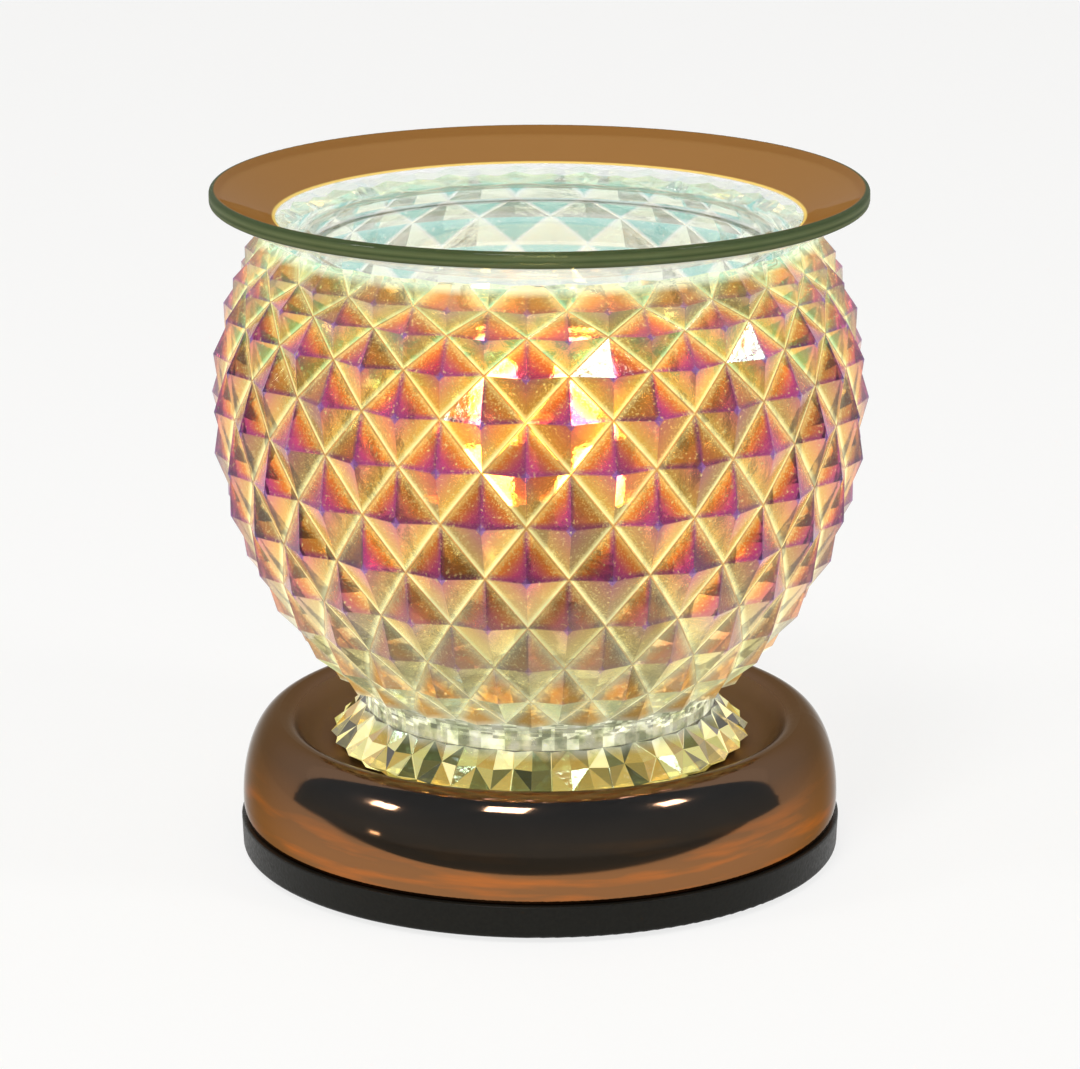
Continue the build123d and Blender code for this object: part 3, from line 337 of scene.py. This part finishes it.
# Touch dimmer
# A white moulded box with a snap lid over a green board. The board carries the switching part, the
# chip, a dipped capacitor and a choke with a sintered core, all soldered to it.
white_moulding = tinted(
    "white_moulding", (0.80, 0.80, 0.77), scale=900, rough=(0.4, 0.6), bump=0.15, spread=0.04
)
finish(white_moulding, "dimmer_case", "dimmer_lid")
board_mask = tinted("board_mask", (0.05, 0.26, 0.12), scale=300, rough=(0.3, 0.5), bump=0.1, spread=0.2)
finish(board_mask, "dimmer_board")
black_epoxy = tinted("black_epoxy", (0.035, 0.035, 0.038), scale=800, rough=(0.45, 0.65), bump=0.2)
finish(black_epoxy, "dimmer_triac", "dimmer_chip")
dipped_red = tinted("dipped_red", (0.50, 0.07, 0.045), scale=120, rough=(0.15, 0.3), bump=0.2)
finish(dipped_red, "dimmer_capacitor")
sintered_core = tinted("sintered_core", (0.10, 0.095, 0.09), scale=700, rough=(0.5, 0.7), bump=0.4)
finish(sintered_core, "dimmer_choke")

# Terminal block
# A natural-coloured moulded block with a bright brass insert for each wire. Zinc-plated screws clamp
# the wires, and one more screw fixes the block to the pan.
natural_moulding = tinted(
    "natural_moulding", (0.78, 0.74, 0.64), scale=600, rough=(0.4, 0.6), bump=0.15, spread=0.06
)
finish(natural_moulding, "terminal_block")
bright_brass = tinted(
    "bright_brass", (0.74, 0.53, 0.22), scale=500, rough=(0.15, 0.32), bump=0.12, metallic=1.0
)
finish(bright_brass, "terminal_inserts")
finish(zinc_plate, "terminal_screws", "terminal_fixing")


# Leads
# Single wires in soft insulation between the terminal block, the dimmer and the lampholder. The
# touch lead is soldered to a brass ring tag on the stem, which makes the metal base the switch.
def insulation(name, colour):
    """Smooth soft covering of a wire."""
    return tinted(name, colour, scale=500, rough=(0.3, 0.45), bump=0.1)


finish(insulation("brown_insulation", (0.20, 0.085, 0.04)), "lamp_lead_live", "supply_lead")
finish(insulation("blue_insulation", (0.05, 0.13, 0.36)), "lamp_lead_neutral")
finish(insulation("yellow_insulation", (0.70, 0.55, 0.07)), "touch_lead")
finish(bright_brass, "touch_tag")


# Base cover
# Pressed steel with polished copper-coloured plating, whose hem slips over the pan's spigot. Its colour is
# darker brown on the crest as a painted dark reflection, and in the hollow around the glass foot as painted
# shade, with orange streaks along the hem as a painted reflection of warm surroundings. Plated posts are
# welded under it for the pan's screws, and a rubber bush lines the cord inlet.
def radius_and_height(tree):
    """Distance from the warmer's axis and height above the table, in metres."""
    split = add_node(tree, "ShaderNodeSeparateXYZ")
    tree.links.new(node_coordinates(tree), split.inputs[0])
    flat = add_node(tree, "ShaderNodeCombineXYZ")
    tree.links.new(split.outputs["X"], flat.inputs["X"])
    tree.links.new(split.outputs["Y"], flat.inputs["Y"])
    length = tree.nodes.new("ShaderNodeVectorMath")
    length.operation = "LENGTH"
    tree.links.new(flat.outputs["Vector"], length.inputs[0])
    return length.outputs["Value"], split.outputs["Z"]


def blend(tree, factor, first, second, kind="MIX"):
    """Mix of two colours, each a link or a fixed colour."""
    node = tree.nodes.new("ShaderNodeMix")
    node.data_type = "RGBA"
    node.blend_type = kind
    for socket, value in (("A", first), ("B", second)):
        if isinstance(value, tuple):
            node.inputs[socket].default_value = value
        else:
            tree.links.new(value, node.inputs[socket])
    if isinstance(factor, float):
        node.inputs["Factor"].default_value = factor
    else:
        tree.links.new(factor, node.inputs["Factor"])
    return node.outputs["Result"]


def product(tree, first, second):
    """Two colours or shares multiplied."""
    return blend(tree, 1.0, first, second, "MULTIPLY")


flank_copper = (0.29, 0.130, 0.052, 1)
# Darker brown on the crest is a painted dark reflection, not a tone of the plating
crest_painted_dark_reflection = (0.150, 0.088, 0.054, 1)
# Brown in the hollow around the glass foot is painted shade
hollow_painted_shade = (0.21, 0.122, 0.074, 1)
# Orange streaks along the hem are a painted reflection of warm surroundings
reflected_warm_orange = (0.56, 0.17, 0.040, 1)
mirror_tint = (0.52, 0.47, 0.42, 1)
cover_heights = (0.0, 0.03)
crest_reflection_fade = (0.013, 0.025)
hem_fade = (0.0135, 0.0215)
hollow_reaches = (0.03, 0.06)
hollow_fade = (0.0475, 0.0515)
hollow_roughness = 0.55
streak_scale = 38.0
streak_stretch = (1, 1, 9)
copper_plating, tree, shader = new_material(
    "copper_plating", {"Metallic": 1.0, "Specular Tint": mirror_tint}
)
cover_reach, cover_rise = radius_and_height(tree)
# The plating darkens from the flank up to the crest as a painted dark reflection
plating_with_painted_shade = stepped(
    tree, cover_rise, [(crest_reflection_fade[0], flank_copper), (crest_reflection_fade[1], crest_painted_dark_reflection)], *cover_heights
)
hollow = stepped(tree, cover_reach, [(hollow_fade[0], 1.0), (hollow_fade[1], 0.0)], *hollow_reaches)
# Painted shade blended into the hollow around the glass foot
plating_with_painted_shade = blend(tree, hollow, plating_with_painted_shade, hollow_painted_shade)
streak_frame = add_node(tree, "ShaderNodeMapping", Scale=streak_stretch)
tree.links.new(node_coordinates(tree), streak_frame.inputs["Vector"])
streak_noise = noise(tree, streak_scale, detail=3.0, place=streak_frame.outputs["Vector"])
# Streaks of painted reflection, kept to the hem
painted_reflection_streaks = stepped(tree, streak_noise, [(0.49, 0.0), (0.70, 0.85)])
hem_zone = stepped(tree, cover_rise, [(hem_fade[0], 1.0), (hem_fade[1], 0.0)], *cover_heights)
painted_reflection_streaks = product(tree, painted_reflection_streaks, hem_zone)
tree.links.new(blend(tree, painted_reflection_streaks, plating_with_painted_shade, reflected_warm_orange), shader.inputs["Base Color"])
grain(tree, shader, scale=35, rough=(0.05, 0.11), bump=0.015)
polish = shader.inputs["Roughness"].links[0].from_socket
tree.links.new(blend(tree, hollow, polish, grey(hollow_roughness)), shader.inputs["Roughness"])
finish(copper_plating, "base_cover")
finish(zinc_plate, "cover_posts")
finish(soft_rubber, "cord_bush")

# Gasket and fibre washer
# A clear brown silicone ring lies between the glass foot and the metal seat, and a grey fibre ring
# between the glass floor and the clamping plate. The clamp holds both.
silicone = tinted("silicone", (0.46, 0.33, 0.20), scale=600, rough=(0.35, 0.5), bump=0.2)
finish(silicone, "foot_gasket")
fibre = tinted("fibre", (0.42, 0.38, 0.33), scale=900, rough=(0.7, 0.9), bump=0.5)
finish(fibre, "shade_washer")

# Globe
# Pressed glass with crossing grooves that leave pyramids, a smooth inside, a waist and a faceted foot. Its
# lustre film turns the lamp's light orange to violet on the upper facets and gold on the lower ones. The
# bright yellow grooves between them are painted highlights, and the glass carries a painted glow for the
# lamp's light.
bowl_reach = 0.0655
bowl_middle_height = 0.0935
upper_bend = 0.0669
lower_bend = 0.0765
cavity_inset = 0.005
cavity_floor = 0.0289
facet_skin = 0.0012
diamond_count = 24
rows_below_middle = 4.5
row_middle_height = 0.07803
row_reach = 0.0480
row_turn = math.radians(12.9)
top_row = 10
top_row_height = 0.1234
last_row_height = 0.1307
weld_distance = 0.00002
flat_angle = math.radians(0.5)
groove_round = 0.00050
groove_angle = math.radians(7)
ridge_round = 0.00022
ridge_angle = 2.5 * groove_angle


def is_cavity(point):
    """Whether a point of the globe lies on its smooth inside."""
    bend = upper_bend if point.z > bowl_middle_height else lower_bend
    rise = point.z - bowl_middle_height
    wall = bowl_reach - bend + math.sqrt(bend**2 - rise**2) - cavity_inset
    return math.hypot(point.x, point.y) < wall + facet_skin and point.z > cavity_floor


def diamond_place(point):
    """Column and row of a point in the grid of tips and crossings, both as running numbers."""
    column = (math.atan2(point.y, point.x) + math.pi / 2) * diamond_count / math.pi
    if point.z > top_row_height:
        return column, top_row + (point.z - top_row_height) / (last_row_height - top_row_height)
    sine = max(-1.0, (point.z - row_middle_height) / row_reach)
    return column, rows_below_middle + math.asin(sine) / row_turn


def nearest_tip(column, row):
    """Column and row of the pyramid's tip that a place in the grid belongs to."""
    choices = [
        (c, r)
        for c in (math.floor(column), math.floor(column) + 1)
        for r in (math.floor(row), math.floor(row) + 1)
        if (c + r) % 2 == 0
    ]
    return min(choices, key=lambda tip: abs(column - tip[0]) + abs(row - tip[1]))


def is_groove(edge):
    """Whether an edge runs between two crossings, along the bottom of a groove."""
    ends = [diamond_place(vert.co) for vert in edge.verts]
    return all((round(column) + round(row)) % 2 == 1 for column, row in ends)


def outer_edges(form, angle):
    """Edges of the globe's outside whose faces meet at more than an angle."""
    return [
        edge
        for edge in form.edges
        if edge.is_manifold
        and edge.calc_face_angle() > angle
        and not all(is_cavity(vert.co) for vert in edge.verts)
    ]


def round_edges(form, edges, offset, segments):
    """Fire-polished rounding of sharp edges."""
    bmesh.ops.bevel(
        form,
        geom=edges,
        offset=offset,
        segments=segments,
        profile=0.5,
        affect="EDGES",
        clamp_overlap=True,
    )


globe_form = bmesh.new()
globe_form.from_mesh(nodes["globe_shade"].data)
bmesh.ops.remove_doubles(globe_form, verts=globe_form.verts, dist=weld_distance)
bmesh.ops.dissolve_limit(
    globe_form, angle_limit=flat_angle, verts=globe_form.verts, edges=globe_form.edges
)
groove_edges = [edge for edge in outer_edges(globe_form, groove_angle) if is_groove(edge)]
round_edges(globe_form, groove_edges, groove_round, segments=2)
round_edges(globe_form, outer_edges(globe_form, ridge_angle), ridge_round, segments=1)

# Each corner of a facet keeps its place on its pyramid, and each facet a chance of its own
facet_seed = random.Random(7)
rise_layer = globe_form.loops.layers.float.new("facet_rise")
tip_layer = globe_form.loops.layers.float.new("facet_tip")
side_layer = globe_form.loops.layers.float.new("facet_side")
chance_layer = globe_form.faces.layers.float.new("facet_chance")
for face in globe_form.faces:
    centre = face.calc_center_median()
    inside = is_cavity(centre)
    face.smooth = inside
    face.material_index = 1 if inside else 0
    face[chance_layer] = facet_seed.random()
    tip_column, tip_row = nearest_tip(*diamond_place(centre))
    for loop in face.loops:
        column, row = diamond_place(loop.vert.co)
        across = (column - tip_column + diamond_count) % (2 * diamond_count) - diamond_count
        loop[rise_layer] = row - tip_row
        loop[tip_layer] = 1 - abs(across) - abs(row - tip_row)
        loop[side_layer] = abs(across)
globe_data = bpy.data.meshes.new("diamond_globe")
globe_form.to_mesh(globe_data)
globe_form.free()
diamond_globe = bpy.data.objects.new("diamond_globe", globe_data)
scene.collection.objects.link(diamond_globe)
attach(diamond_globe, "base")
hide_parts("globe_shade")


def named_value(tree, name):
    """Number stored on the mesh under a name."""
    node = tree.nodes.new("ShaderNodeAttribute")
    node.attribute_name = name
    return node.outputs["Fac"]


gold = (0.94, 0.57, 0.14, 1)
tan = (0.92, 0.45, 0.18, 1)
rose = (0.84, 0.31, 0.28, 1)
violet = (0.36, 0.15, 0.44, 1)
plum = (0.48, 0.09, 0.29, 1)
magenta = (0.68, 0.10, 0.25, 1)
ember = (0.90, 0.27, 0.06, 1)
orange = (1.0, 0.46, 0.05, 1)
yellow_green = (0.94, 0.72, 0.20, 1)
end_green = (0.74, 0.84, 0.48, 1)
end_orange = (0.90, 0.56, 0.16, 1)
end_cream = (0.84, 0.86, 0.56, 1)
# Painted highlight colours along the grooves
groove_highlight_yellow = (0.98, 0.90, 0.46, 1)
groove_highlight_green = (0.84, 0.88, 0.58, 1)
groove_shade_bronze = (0.70, 0.38, 0.11, 1)
sand_yellow = (0.96, 0.83, 0.38, 1)
foot_shade = (0.15, 0.13, 0.03, 1)
foot_olive = (0.50, 0.44, 0.12, 1)
foot_orange = (0.95, 0.60, 0.12, 1)
foot_straw = (0.84, 0.78, 0.24, 1)
foot_lemon = (1.0, 0.89, 0.40, 1)
waist_olive = (0.52, 0.56, 0.36, 1)
waist_pale = (0.84, 0.86, 0.60, 1)
waist_bright = (0.97, 0.98, 0.78, 1)
mouth_cream = (0.88, 0.90, 0.70, 1)
inside_teal = (0.07, 0.46, 0.40, 1)
inside_cream = (0.90, 1.0, 0.66, 1)
inside_groove_highlight = (0.90, 0.95, 0.85, 1)
inside_speck = (0.95, 0.98, 0.92, 1)
inside_low = (0.94, 0.93, 0.83, 1)
inner_glass = (0.97, 0.98, 0.95, 1)
glass_ior = 1.52
film_nm = 420.0
film_ior = 1.6
film_depth = 2.5
sand_scale = 2600.0
speck_scale = 1500.0
waist_scale = 330.0
bowl_heights = (0.02, 0.13)
foot_heights = (0.02, 0.06)
waist_start = (0.0290, 0.0312)
foot_end = (0.0365, 0.0385)
mouth_heights = (0.10, 0.14)
mouth_start = (0.1258, 0.1272)
inside_heights = (0.08, 0.13)
inside_start = (0.101, 0.107)
lit_heights = (0.02, 0.14)
groove_light = 0.42
lustre_glass, tree, shader = new_material(
    "lustre_glass",
    {
        "Transmission Weight": 1.0,
        "IOR": glass_ior,
        "Specular IOR Level": 0.2,
        "Thin Film Thickness": film_nm,
        "Thin Film IOR": film_ior,
        "Emission Strength": 1.0,
    },
)
globe_rise = radius_and_height(tree)[1]
facet_rise = named_value(tree, "facet_rise")
facet_tip = named_value(tree, "facet_tip")
facet_side = named_value(tree, "facet_side")
facet_chance = named_value(tree, "facet_chance")

# Facets that face up: orange at the grooves, plum at the tips and ridges, a few of them golden
upper_facet = stepped(tree, facet_tip, [(0.05, orange), (0.28, ember), (0.62, magenta), (0.86, plum)])
golden_facet = stepped(tree, facet_tip, [(0.05, gold), (0.35, orange), (0.86, ember)])
golden_share = stepped(tree, facet_chance, [(0.18, 0.8), (0.32, 0.0)])
upper_facet = blend(tree, golden_share, upper_facet, golden_facet)
upright_ridge = stepped(tree, facet_side, [(0.02, 0.75), (0.11, 0.0)])
upper_facet = blend(tree, upright_ridge, upper_facet, plum)
level_ridge = stepped(tree, facet_rise, [(0.03, 0.8), (0.13, 0.0)])
upper_facet = blend(tree, level_ridge, upper_facet, plum)

# Facets that face down are golden, and the rows near the waist and the mouth are paler
lower_facet = stepped(tree, facet_tip, [(0.05, yellow_green), (0.24, gold), (0.52, tan), (0.82, rose)])
upward = stepped(tree, facet_rise, [(-0.02, 0.0), (0.02, 1.0)], -1.0, 1.0)
middle_rows = blend(tree, upward, lower_facet, upper_facet)
end_rows = blend(tree, upward, end_green, end_orange)
end_rims = stepped(tree, facet_tip, [(0.12, 0.8), (0.45, 0.0)])
end_rows = blend(tree, end_rims, end_rows, end_cream)
lustre_shares = [(0.042, 0.10), (0.058, 0.50), (0.072, 1.0), (0.112, 1.0), (0.121, 0.75), (0.1265, 0.25)]
lustre_band = stepped(tree, globe_rise, lustre_shares, *bowl_heights)
lustre = blend(tree, lustre_band, end_rows, middle_rows)
facet_tone = stepped(tree, facet_chance, [(0.0, 0.50), (0.6, 0.88), (1.0, 1.0)])
lustre = product(tree, lustre, facet_tone)
tip_dot = stepped(tree, facet_tip, [(0.86, 0.0), (0.91, 0.9)])
lustre = blend(tree, product(tree, tip_dot, lustre_band), lustre, violet)

# Grooves with a painted highlight on their pale side, a thin bronze core of painted shade and a sandy
# texture beside them, and fine specks
groove_highlight_line = stepped(tree, facet_tip, [(0.06, 0.9), (0.19, 0.0)], -0.1, 0.3)
groove_highlight_side = stepped(tree, facet_rise, [(-0.04, 1.0), (0.04, 0.30)], -1.0, 1.0)
groove_highlight_line = product(tree, groove_highlight_line, groove_highlight_side)
groove_highlight_tone = blend(tree, lustre_band, groove_highlight_green, groove_highlight_yellow)
lustre = blend(tree, groove_highlight_line, lustre, groove_highlight_tone)
sand = stepped(tree, noise(tree, sand_scale, detail=3.0), [(0.52, 0.0), (0.64, 0.6)])
near_groove = stepped(tree, facet_tip, [(0.10, 1.0), (0.45, 0.15)])
lustre = blend(tree, product(tree, sand, near_groove), lustre, sand_yellow)
# Painted shade along the bottom of each groove
groove_shade_core = stepped(tree, facet_tip, [(0.018, 0.9), (0.045, 0.0)], -0.1, 0.3)
lustre = blend(tree, product(tree, groove_shade_core, lustre_band), lustre, groove_shade_bronze)
specks = stepped(tree, noise(tree, speck_scale, detail=2.0), [(0.60, 0.0), (0.74, 0.6)])
lustre = blend(tree, specks, lustre, sand_yellow)

# Foot with a colour for each facet, cloudy waist and pale mouth
foot_colour = stepped(
    tree,
    facet_chance,
    [(0.05, foot_shade), (0.22, foot_olive), (0.45, foot_orange), (0.70, foot_straw), (0.93, foot_lemon)],
)
waist_colour = stepped(
    tree,
    noise(tree, waist_scale, detail=2.0),
    [(0.36, waist_olive), (0.50, waist_pale), (0.64, waist_bright)],
)
waist_zone = stepped(tree, globe_rise, [(waist_start[0], 0.0), (waist_start[1], 1.0)], *foot_heights)
foot_colour = blend(tree, waist_zone, foot_colour, waist_colour)
foot_zone = stepped(tree, globe_rise, [(foot_end[0], 1.0), (foot_end[1], 0.0)], *foot_heights)
lustre = blend(tree, foot_zone, lustre, foot_colour)
mouth_zone = stepped(tree, globe_rise, [(mouth_start[0], 0.0), (mouth_start[1], 1.0)], *mouth_heights)
lustre = blend(tree, mouth_zone, lustre, mouth_cream)

# From inside, the film's back shows teal and cream facets high up and clear glass below
seen_from_inside = add_node(tree, "ShaderNodeNewGeometry").outputs["Backfacing"]
inside_facets = blend(tree, upward, inside_teal, inside_cream)
inside_facets = blend(tree, groove_highlight_line, inside_facets, inside_groove_highlight)
inside_facets = blend(tree, specks, inside_facets, inside_speck)
inside_high = stepped(tree, globe_rise, [(inside_start[0], 0.0), (inside_start[1], 1.0)], *inside_heights)
inside_tint = blend(tree, inside_high, inside_low, inside_facets)
deep_lustre = add_node(tree, "ShaderNodeGamma", Gamma=film_depth)
tree.links.new(lustre, deep_lustre.inputs["Color"])
glass_tint = blend(tree, seen_from_inside, deep_lustre.outputs["Color"], inside_tint)
tree.links.new(glass_tint, shader.inputs["Base Color"])

# Painted glow standing in for lamp light that the cut glass scatters, strongest in the grooves and the foot
lit_shares = [
    (0.027, 0.56),
    (0.040, 0.58),
    (0.062, 0.28),
    (0.075, 0.14),
    (0.110, 0.14),
    (0.122, 0.22),
    (0.128, 0.28),
]
lit_share = stepped(tree, globe_rise, lit_shares, *lit_heights)
groove_glow = product(tree, groove_highlight_line, lustre_band)
lit_share = blend(tree, groove_glow, lit_share, grey(groove_light))
foot_sparkle = stepped(tree, facet_chance, [(0.2, 0.35), (0.75, 0.65), (0.93, 1.0)])
lit_share = blend(tree, foot_zone, lit_share, foot_sparkle)
lit_lustre = product(tree, lustre, lit_share)
inside_glow = stepped(
    tree, globe_rise, [(inside_start[0], 0.03), (inside_start[1], 0.22)], *inside_heights
)
lit_inside = product(tree, inside_tint, inside_glow)
tree.links.new(blend(tree, seen_from_inside, lit_lustre, lit_inside), shader.inputs["Emission Color"])
grain(tree, shader, scale=450, rough=(0.0, 0.04), bump=0.45, detail=6.0)
globe_data.materials.append(lustre_glass)
clear_glass, tree, shader = new_material(
    "clear_glass", {"Base Color": inner_glass, "Transmission Weight": 1.0, "IOR": glass_ior}
)
grain(tree, shader, scale=220, rough=(0.0, 0.05), bump=0.12)
globe_data.materials.append(clear_glass)

# Clamp and lampholder
# A hollow threaded brass stem with nuts and toothed washers draws a steel plate down on the glass
# floor. A bent strip bracket on the stem carries the ceramic lampholder with its brass contacts.
finish(bright_brass, "stem", "stem_nuts", "holder_contacts")
finish(zinc_plate, "stem_washers", "shade_plate", "holder_bracket", "holder_screws")
lamp_ceramic = tinted(
    "lamp_ceramic", (0.86, 0.84, 0.78), scale=350, rough=(0.45, 0.7), bump=0.25, spread=0.06
)
finish(lamp_ceramic, "lampholder")

# Lamp
# A twist-lock halogen reflector lamp, alight: the quartz capsule is white hot and shows through
# the coated glass bell and the front glass, over a ceramic cap with two pins that lock in the holder.
bell_rose = (0.90, 0.55, 0.50, 1)
bell_amber = (1.0, 0.72, 0.45, 1)
bell_straw = (1.0, 0.86, 0.60, 1)
bell_cream = (1.0, 0.94, 0.80, 1)
bell_heights = (0.075, 0.109)
bell_ior = 1.47
front_tint = (1.0, 0.97, 0.9, 1)
front_light = (1.0, 0.90, 0.68, 1)
glass_light = 0.08
quartz_white = (0.95, 0.93, 0.88, 1)
capsule_light = (1.0, 0.86, 0.58, 1)
capsule_strength = 110.0
bell_glass, tree, shader = new_material(
    "bell_glass", {"Transmission Weight": 1.0, "IOR": bell_ior, "Emission Strength": glass_light}
)
bell_colour = stepped(
    tree,
    radius_and_height(tree)[1],
    [(0.077, bell_rose), (0.088, bell_amber), (0.097, bell_straw), (0.106, bell_cream)],
    *bell_heights,
)
tree.links.new(bell_colour, shader.inputs["Base Color"])
tree.links.new(bell_colour, shader.inputs["Emission Color"])
grain(tree, shader, scale=180, rough=(0.02, 0.12), bump=0.2)
finish(bell_glass, "lamp_reflector")
front_glass, tree, shader = new_material(
    "front_glass",
    {
        "Base Color": front_tint,
        "Transmission Weight": 1.0,
        "Emission Color": front_light,
        "Emission Strength": glass_light,
    },
)
grain(tree, shader, scale=300, rough=(0.0, 0.1), bump=0.3)
finish(front_glass, "lamp_lens")
hot_quartz, tree, shader = new_material(
    "hot_quartz",
    {
        "Base Color": quartz_white,
        "Emission Color": capsule_light,
        "Emission Strength": capsule_strength,
    },
)
grain(tree, shader, scale=300, rough=(0.05, 0.2), bump=0.1)
finish(hot_quartz, "lamp_capsule")
tungsten = tinted("tungsten", (0.4, 0.38, 0.36), scale=900, rough=(0.3, 0.5), bump=0.3, metallic=1.0)
finish(tungsten, "lamp_filament")
finish(lamp_ceramic, "lamp_cap")
finish(zinc_plate, "lamp_pins")

# Wax dish
# A loose saucer of clear float glass, slumped in a mould. An amber-brown layer on the top of the flange,
# which shows only from that side, is a painted view of brown surroundings through the glass, edged by a
# painted yellow line of light; a painted dark ring marks the bend, and the ground edge is green with painted
# olive highlight lines and a faint painted glow.
clear_tint = (0.91, 0.975, 0.91, 1)
# Painted dark ring where the bend of the slumped glass refracts darkly
bend_painted_dark = (0.42, 0.37, 0.22, 1)
# Painted yellow line of light where the globe's lit rim shows through the dish
painted_rim_glow_yellow = (0.95, 0.66, 0.16, 1)
# Amber-brown painted view of brown surroundings through the clear flange
painted_backdrop_brown = (0.31, 0.140, 0.033, 1)
edge_green = (0.032, 0.046, 0.016, 1)
# Olive lines on the green ground edge are painted highlights, and its emission a painted glow
edge_highlight_olive = (0.105, 0.122, 0.050, 1)
edge_painted_glow = (0.012, 0.020, 0.007, 1)
dish_ior = 1.51
dish_reaches = (0.040, 0.066)
bend_ring = (0.0432, 0.0442, 0.0456, 0.0466)
backdrop_paint_edge = 0.0522
glow_line_reach = (backdrop_paint_edge - 0.0002, backdrop_paint_edge + 0.0003)
backdrop_paint_full = backdrop_paint_edge + 0.0006
clear_end = (0.0600, 0.0622)
ground_edge = 0.0638
hair_fade = 0.0004
edge_dim = 0.0006
edge_heights = (0.130, 0.140)
flange_slope = 0.5
flange_levels = (0.10, 0.11)
backdrop_paint_level = (0.1028, 0.1034)
backdrop_paint_clearness = 0.12
edge_clearness = 0.15
clear_alpha = 0.25
bend_alpha = 0.8
dish_glass, tree, shader = new_material(
    "dish_glass", {"IOR": dish_ior, "Specular IOR Level": 0.0, "Emission Strength": 1.0}
)
dish_reach, dish_rise = radius_and_height(tree)

# The painted brown layer lies above a cone along the flange, and only its upper side shows
flange_level = tree.nodes.new("ShaderNodeMath")
flange_level.operation = "MULTIPLY_ADD"
flange_level.inputs[1].default_value = -flange_slope
tree.links.new(dish_reach, flange_level.inputs[0])
tree.links.new(dish_rise, flange_level.inputs[2])
backdrop_paint_side = stepped(
    tree, flange_level.outputs["Value"], [(backdrop_paint_level[0], 0.0), (backdrop_paint_level[1], 1.0)], *flange_levels
)
from_below = add_node(tree, "ShaderNodeNewGeometry").outputs["Backfacing"]
backdrop_paint_side = blend(tree, from_below, backdrop_paint_side, grey(0.0))
flange_painted_colour = stepped(
    tree,
    dish_reach,
    [
        (bend_ring[0], clear_tint),
        (bend_ring[1], bend_painted_dark),
        (bend_ring[2], bend_painted_dark),
        (bend_ring[3], clear_tint),
        (backdrop_paint_edge - hair_fade, clear_tint),
        (glow_line_reach[0], painted_rim_glow_yellow),
        (glow_line_reach[1], painted_rim_glow_yellow),
        (backdrop_paint_full, painted_backdrop_brown),
    ],
    *dish_reaches,
)
# Green ground edge with painted highlight lines
edge_green_and_highlights = stepped(
    tree,
    dish_rise,
    [
        (0.1334, edge_green),
        (0.1341, edge_highlight_olive),
        (0.1346, edge_green),
        (0.1352, edge_highlight_olive),
        (0.1360, edge_green),
    ],
    *edge_heights,
)
edge_share = stepped(tree, dish_reach, [(ground_edge, 0.0), (ground_edge + hair_fade, 1.0)], *dish_reaches)
dish_colour = blend(tree, backdrop_paint_side, clear_tint, flange_painted_colour)
tree.links.new(blend(tree, edge_share, dish_colour, edge_green_and_highlights), shader.inputs["Base Color"])
tree.links.new(blend(tree, edge_share, grey(0.0), edge_painted_glow), shader.inputs["Emission Color"])

# Light passes the clear glass, and hardly the painted brown layer and the ground edge
backdrop_paint_pass = stepped(
    tree,
    dish_reach,
    [
        (backdrop_paint_edge - hair_fade, 1.0),
        (backdrop_paint_edge, backdrop_paint_clearness),
        (ground_edge, backdrop_paint_clearness),
        (ground_edge + hair_fade, edge_clearness),
    ],
    *dish_reaches,
)
bare_pass = stepped(
    tree, dish_reach, [(ground_edge - edge_dim, 1.0), (ground_edge, edge_clearness)], *dish_reaches
)
tree.links.new(blend(tree, backdrop_paint_side, bare_pass, backdrop_paint_pass), shader.inputs["Transmission Weight"])
clear_share = stepped(
    tree,
    dish_reach,
    [
        (bend_ring[0], clear_alpha),
        (bend_ring[1], bend_alpha),
        (bend_ring[2], bend_alpha),
        (bend_ring[3], clear_alpha),
        (clear_end[0], clear_alpha),
        (clear_end[1], 1.0),
    ],
    *dish_reaches,
)
backdrop_paint_share = stepped(tree, dish_reach, [(backdrop_paint_edge - hair_fade, 0.0), (backdrop_paint_edge, 1.0)], *dish_reaches)
backdrop_paint_share = product(tree, backdrop_paint_side, backdrop_paint_share)
tree.links.new(blend(tree, backdrop_paint_share, clear_share, grey(1.0)), shader.inputs["Alpha"])
grain(tree, shader, scale=60, rough=(0.0, 0.015), bump=0.01)
finish(dish_glass, "wax_dish")
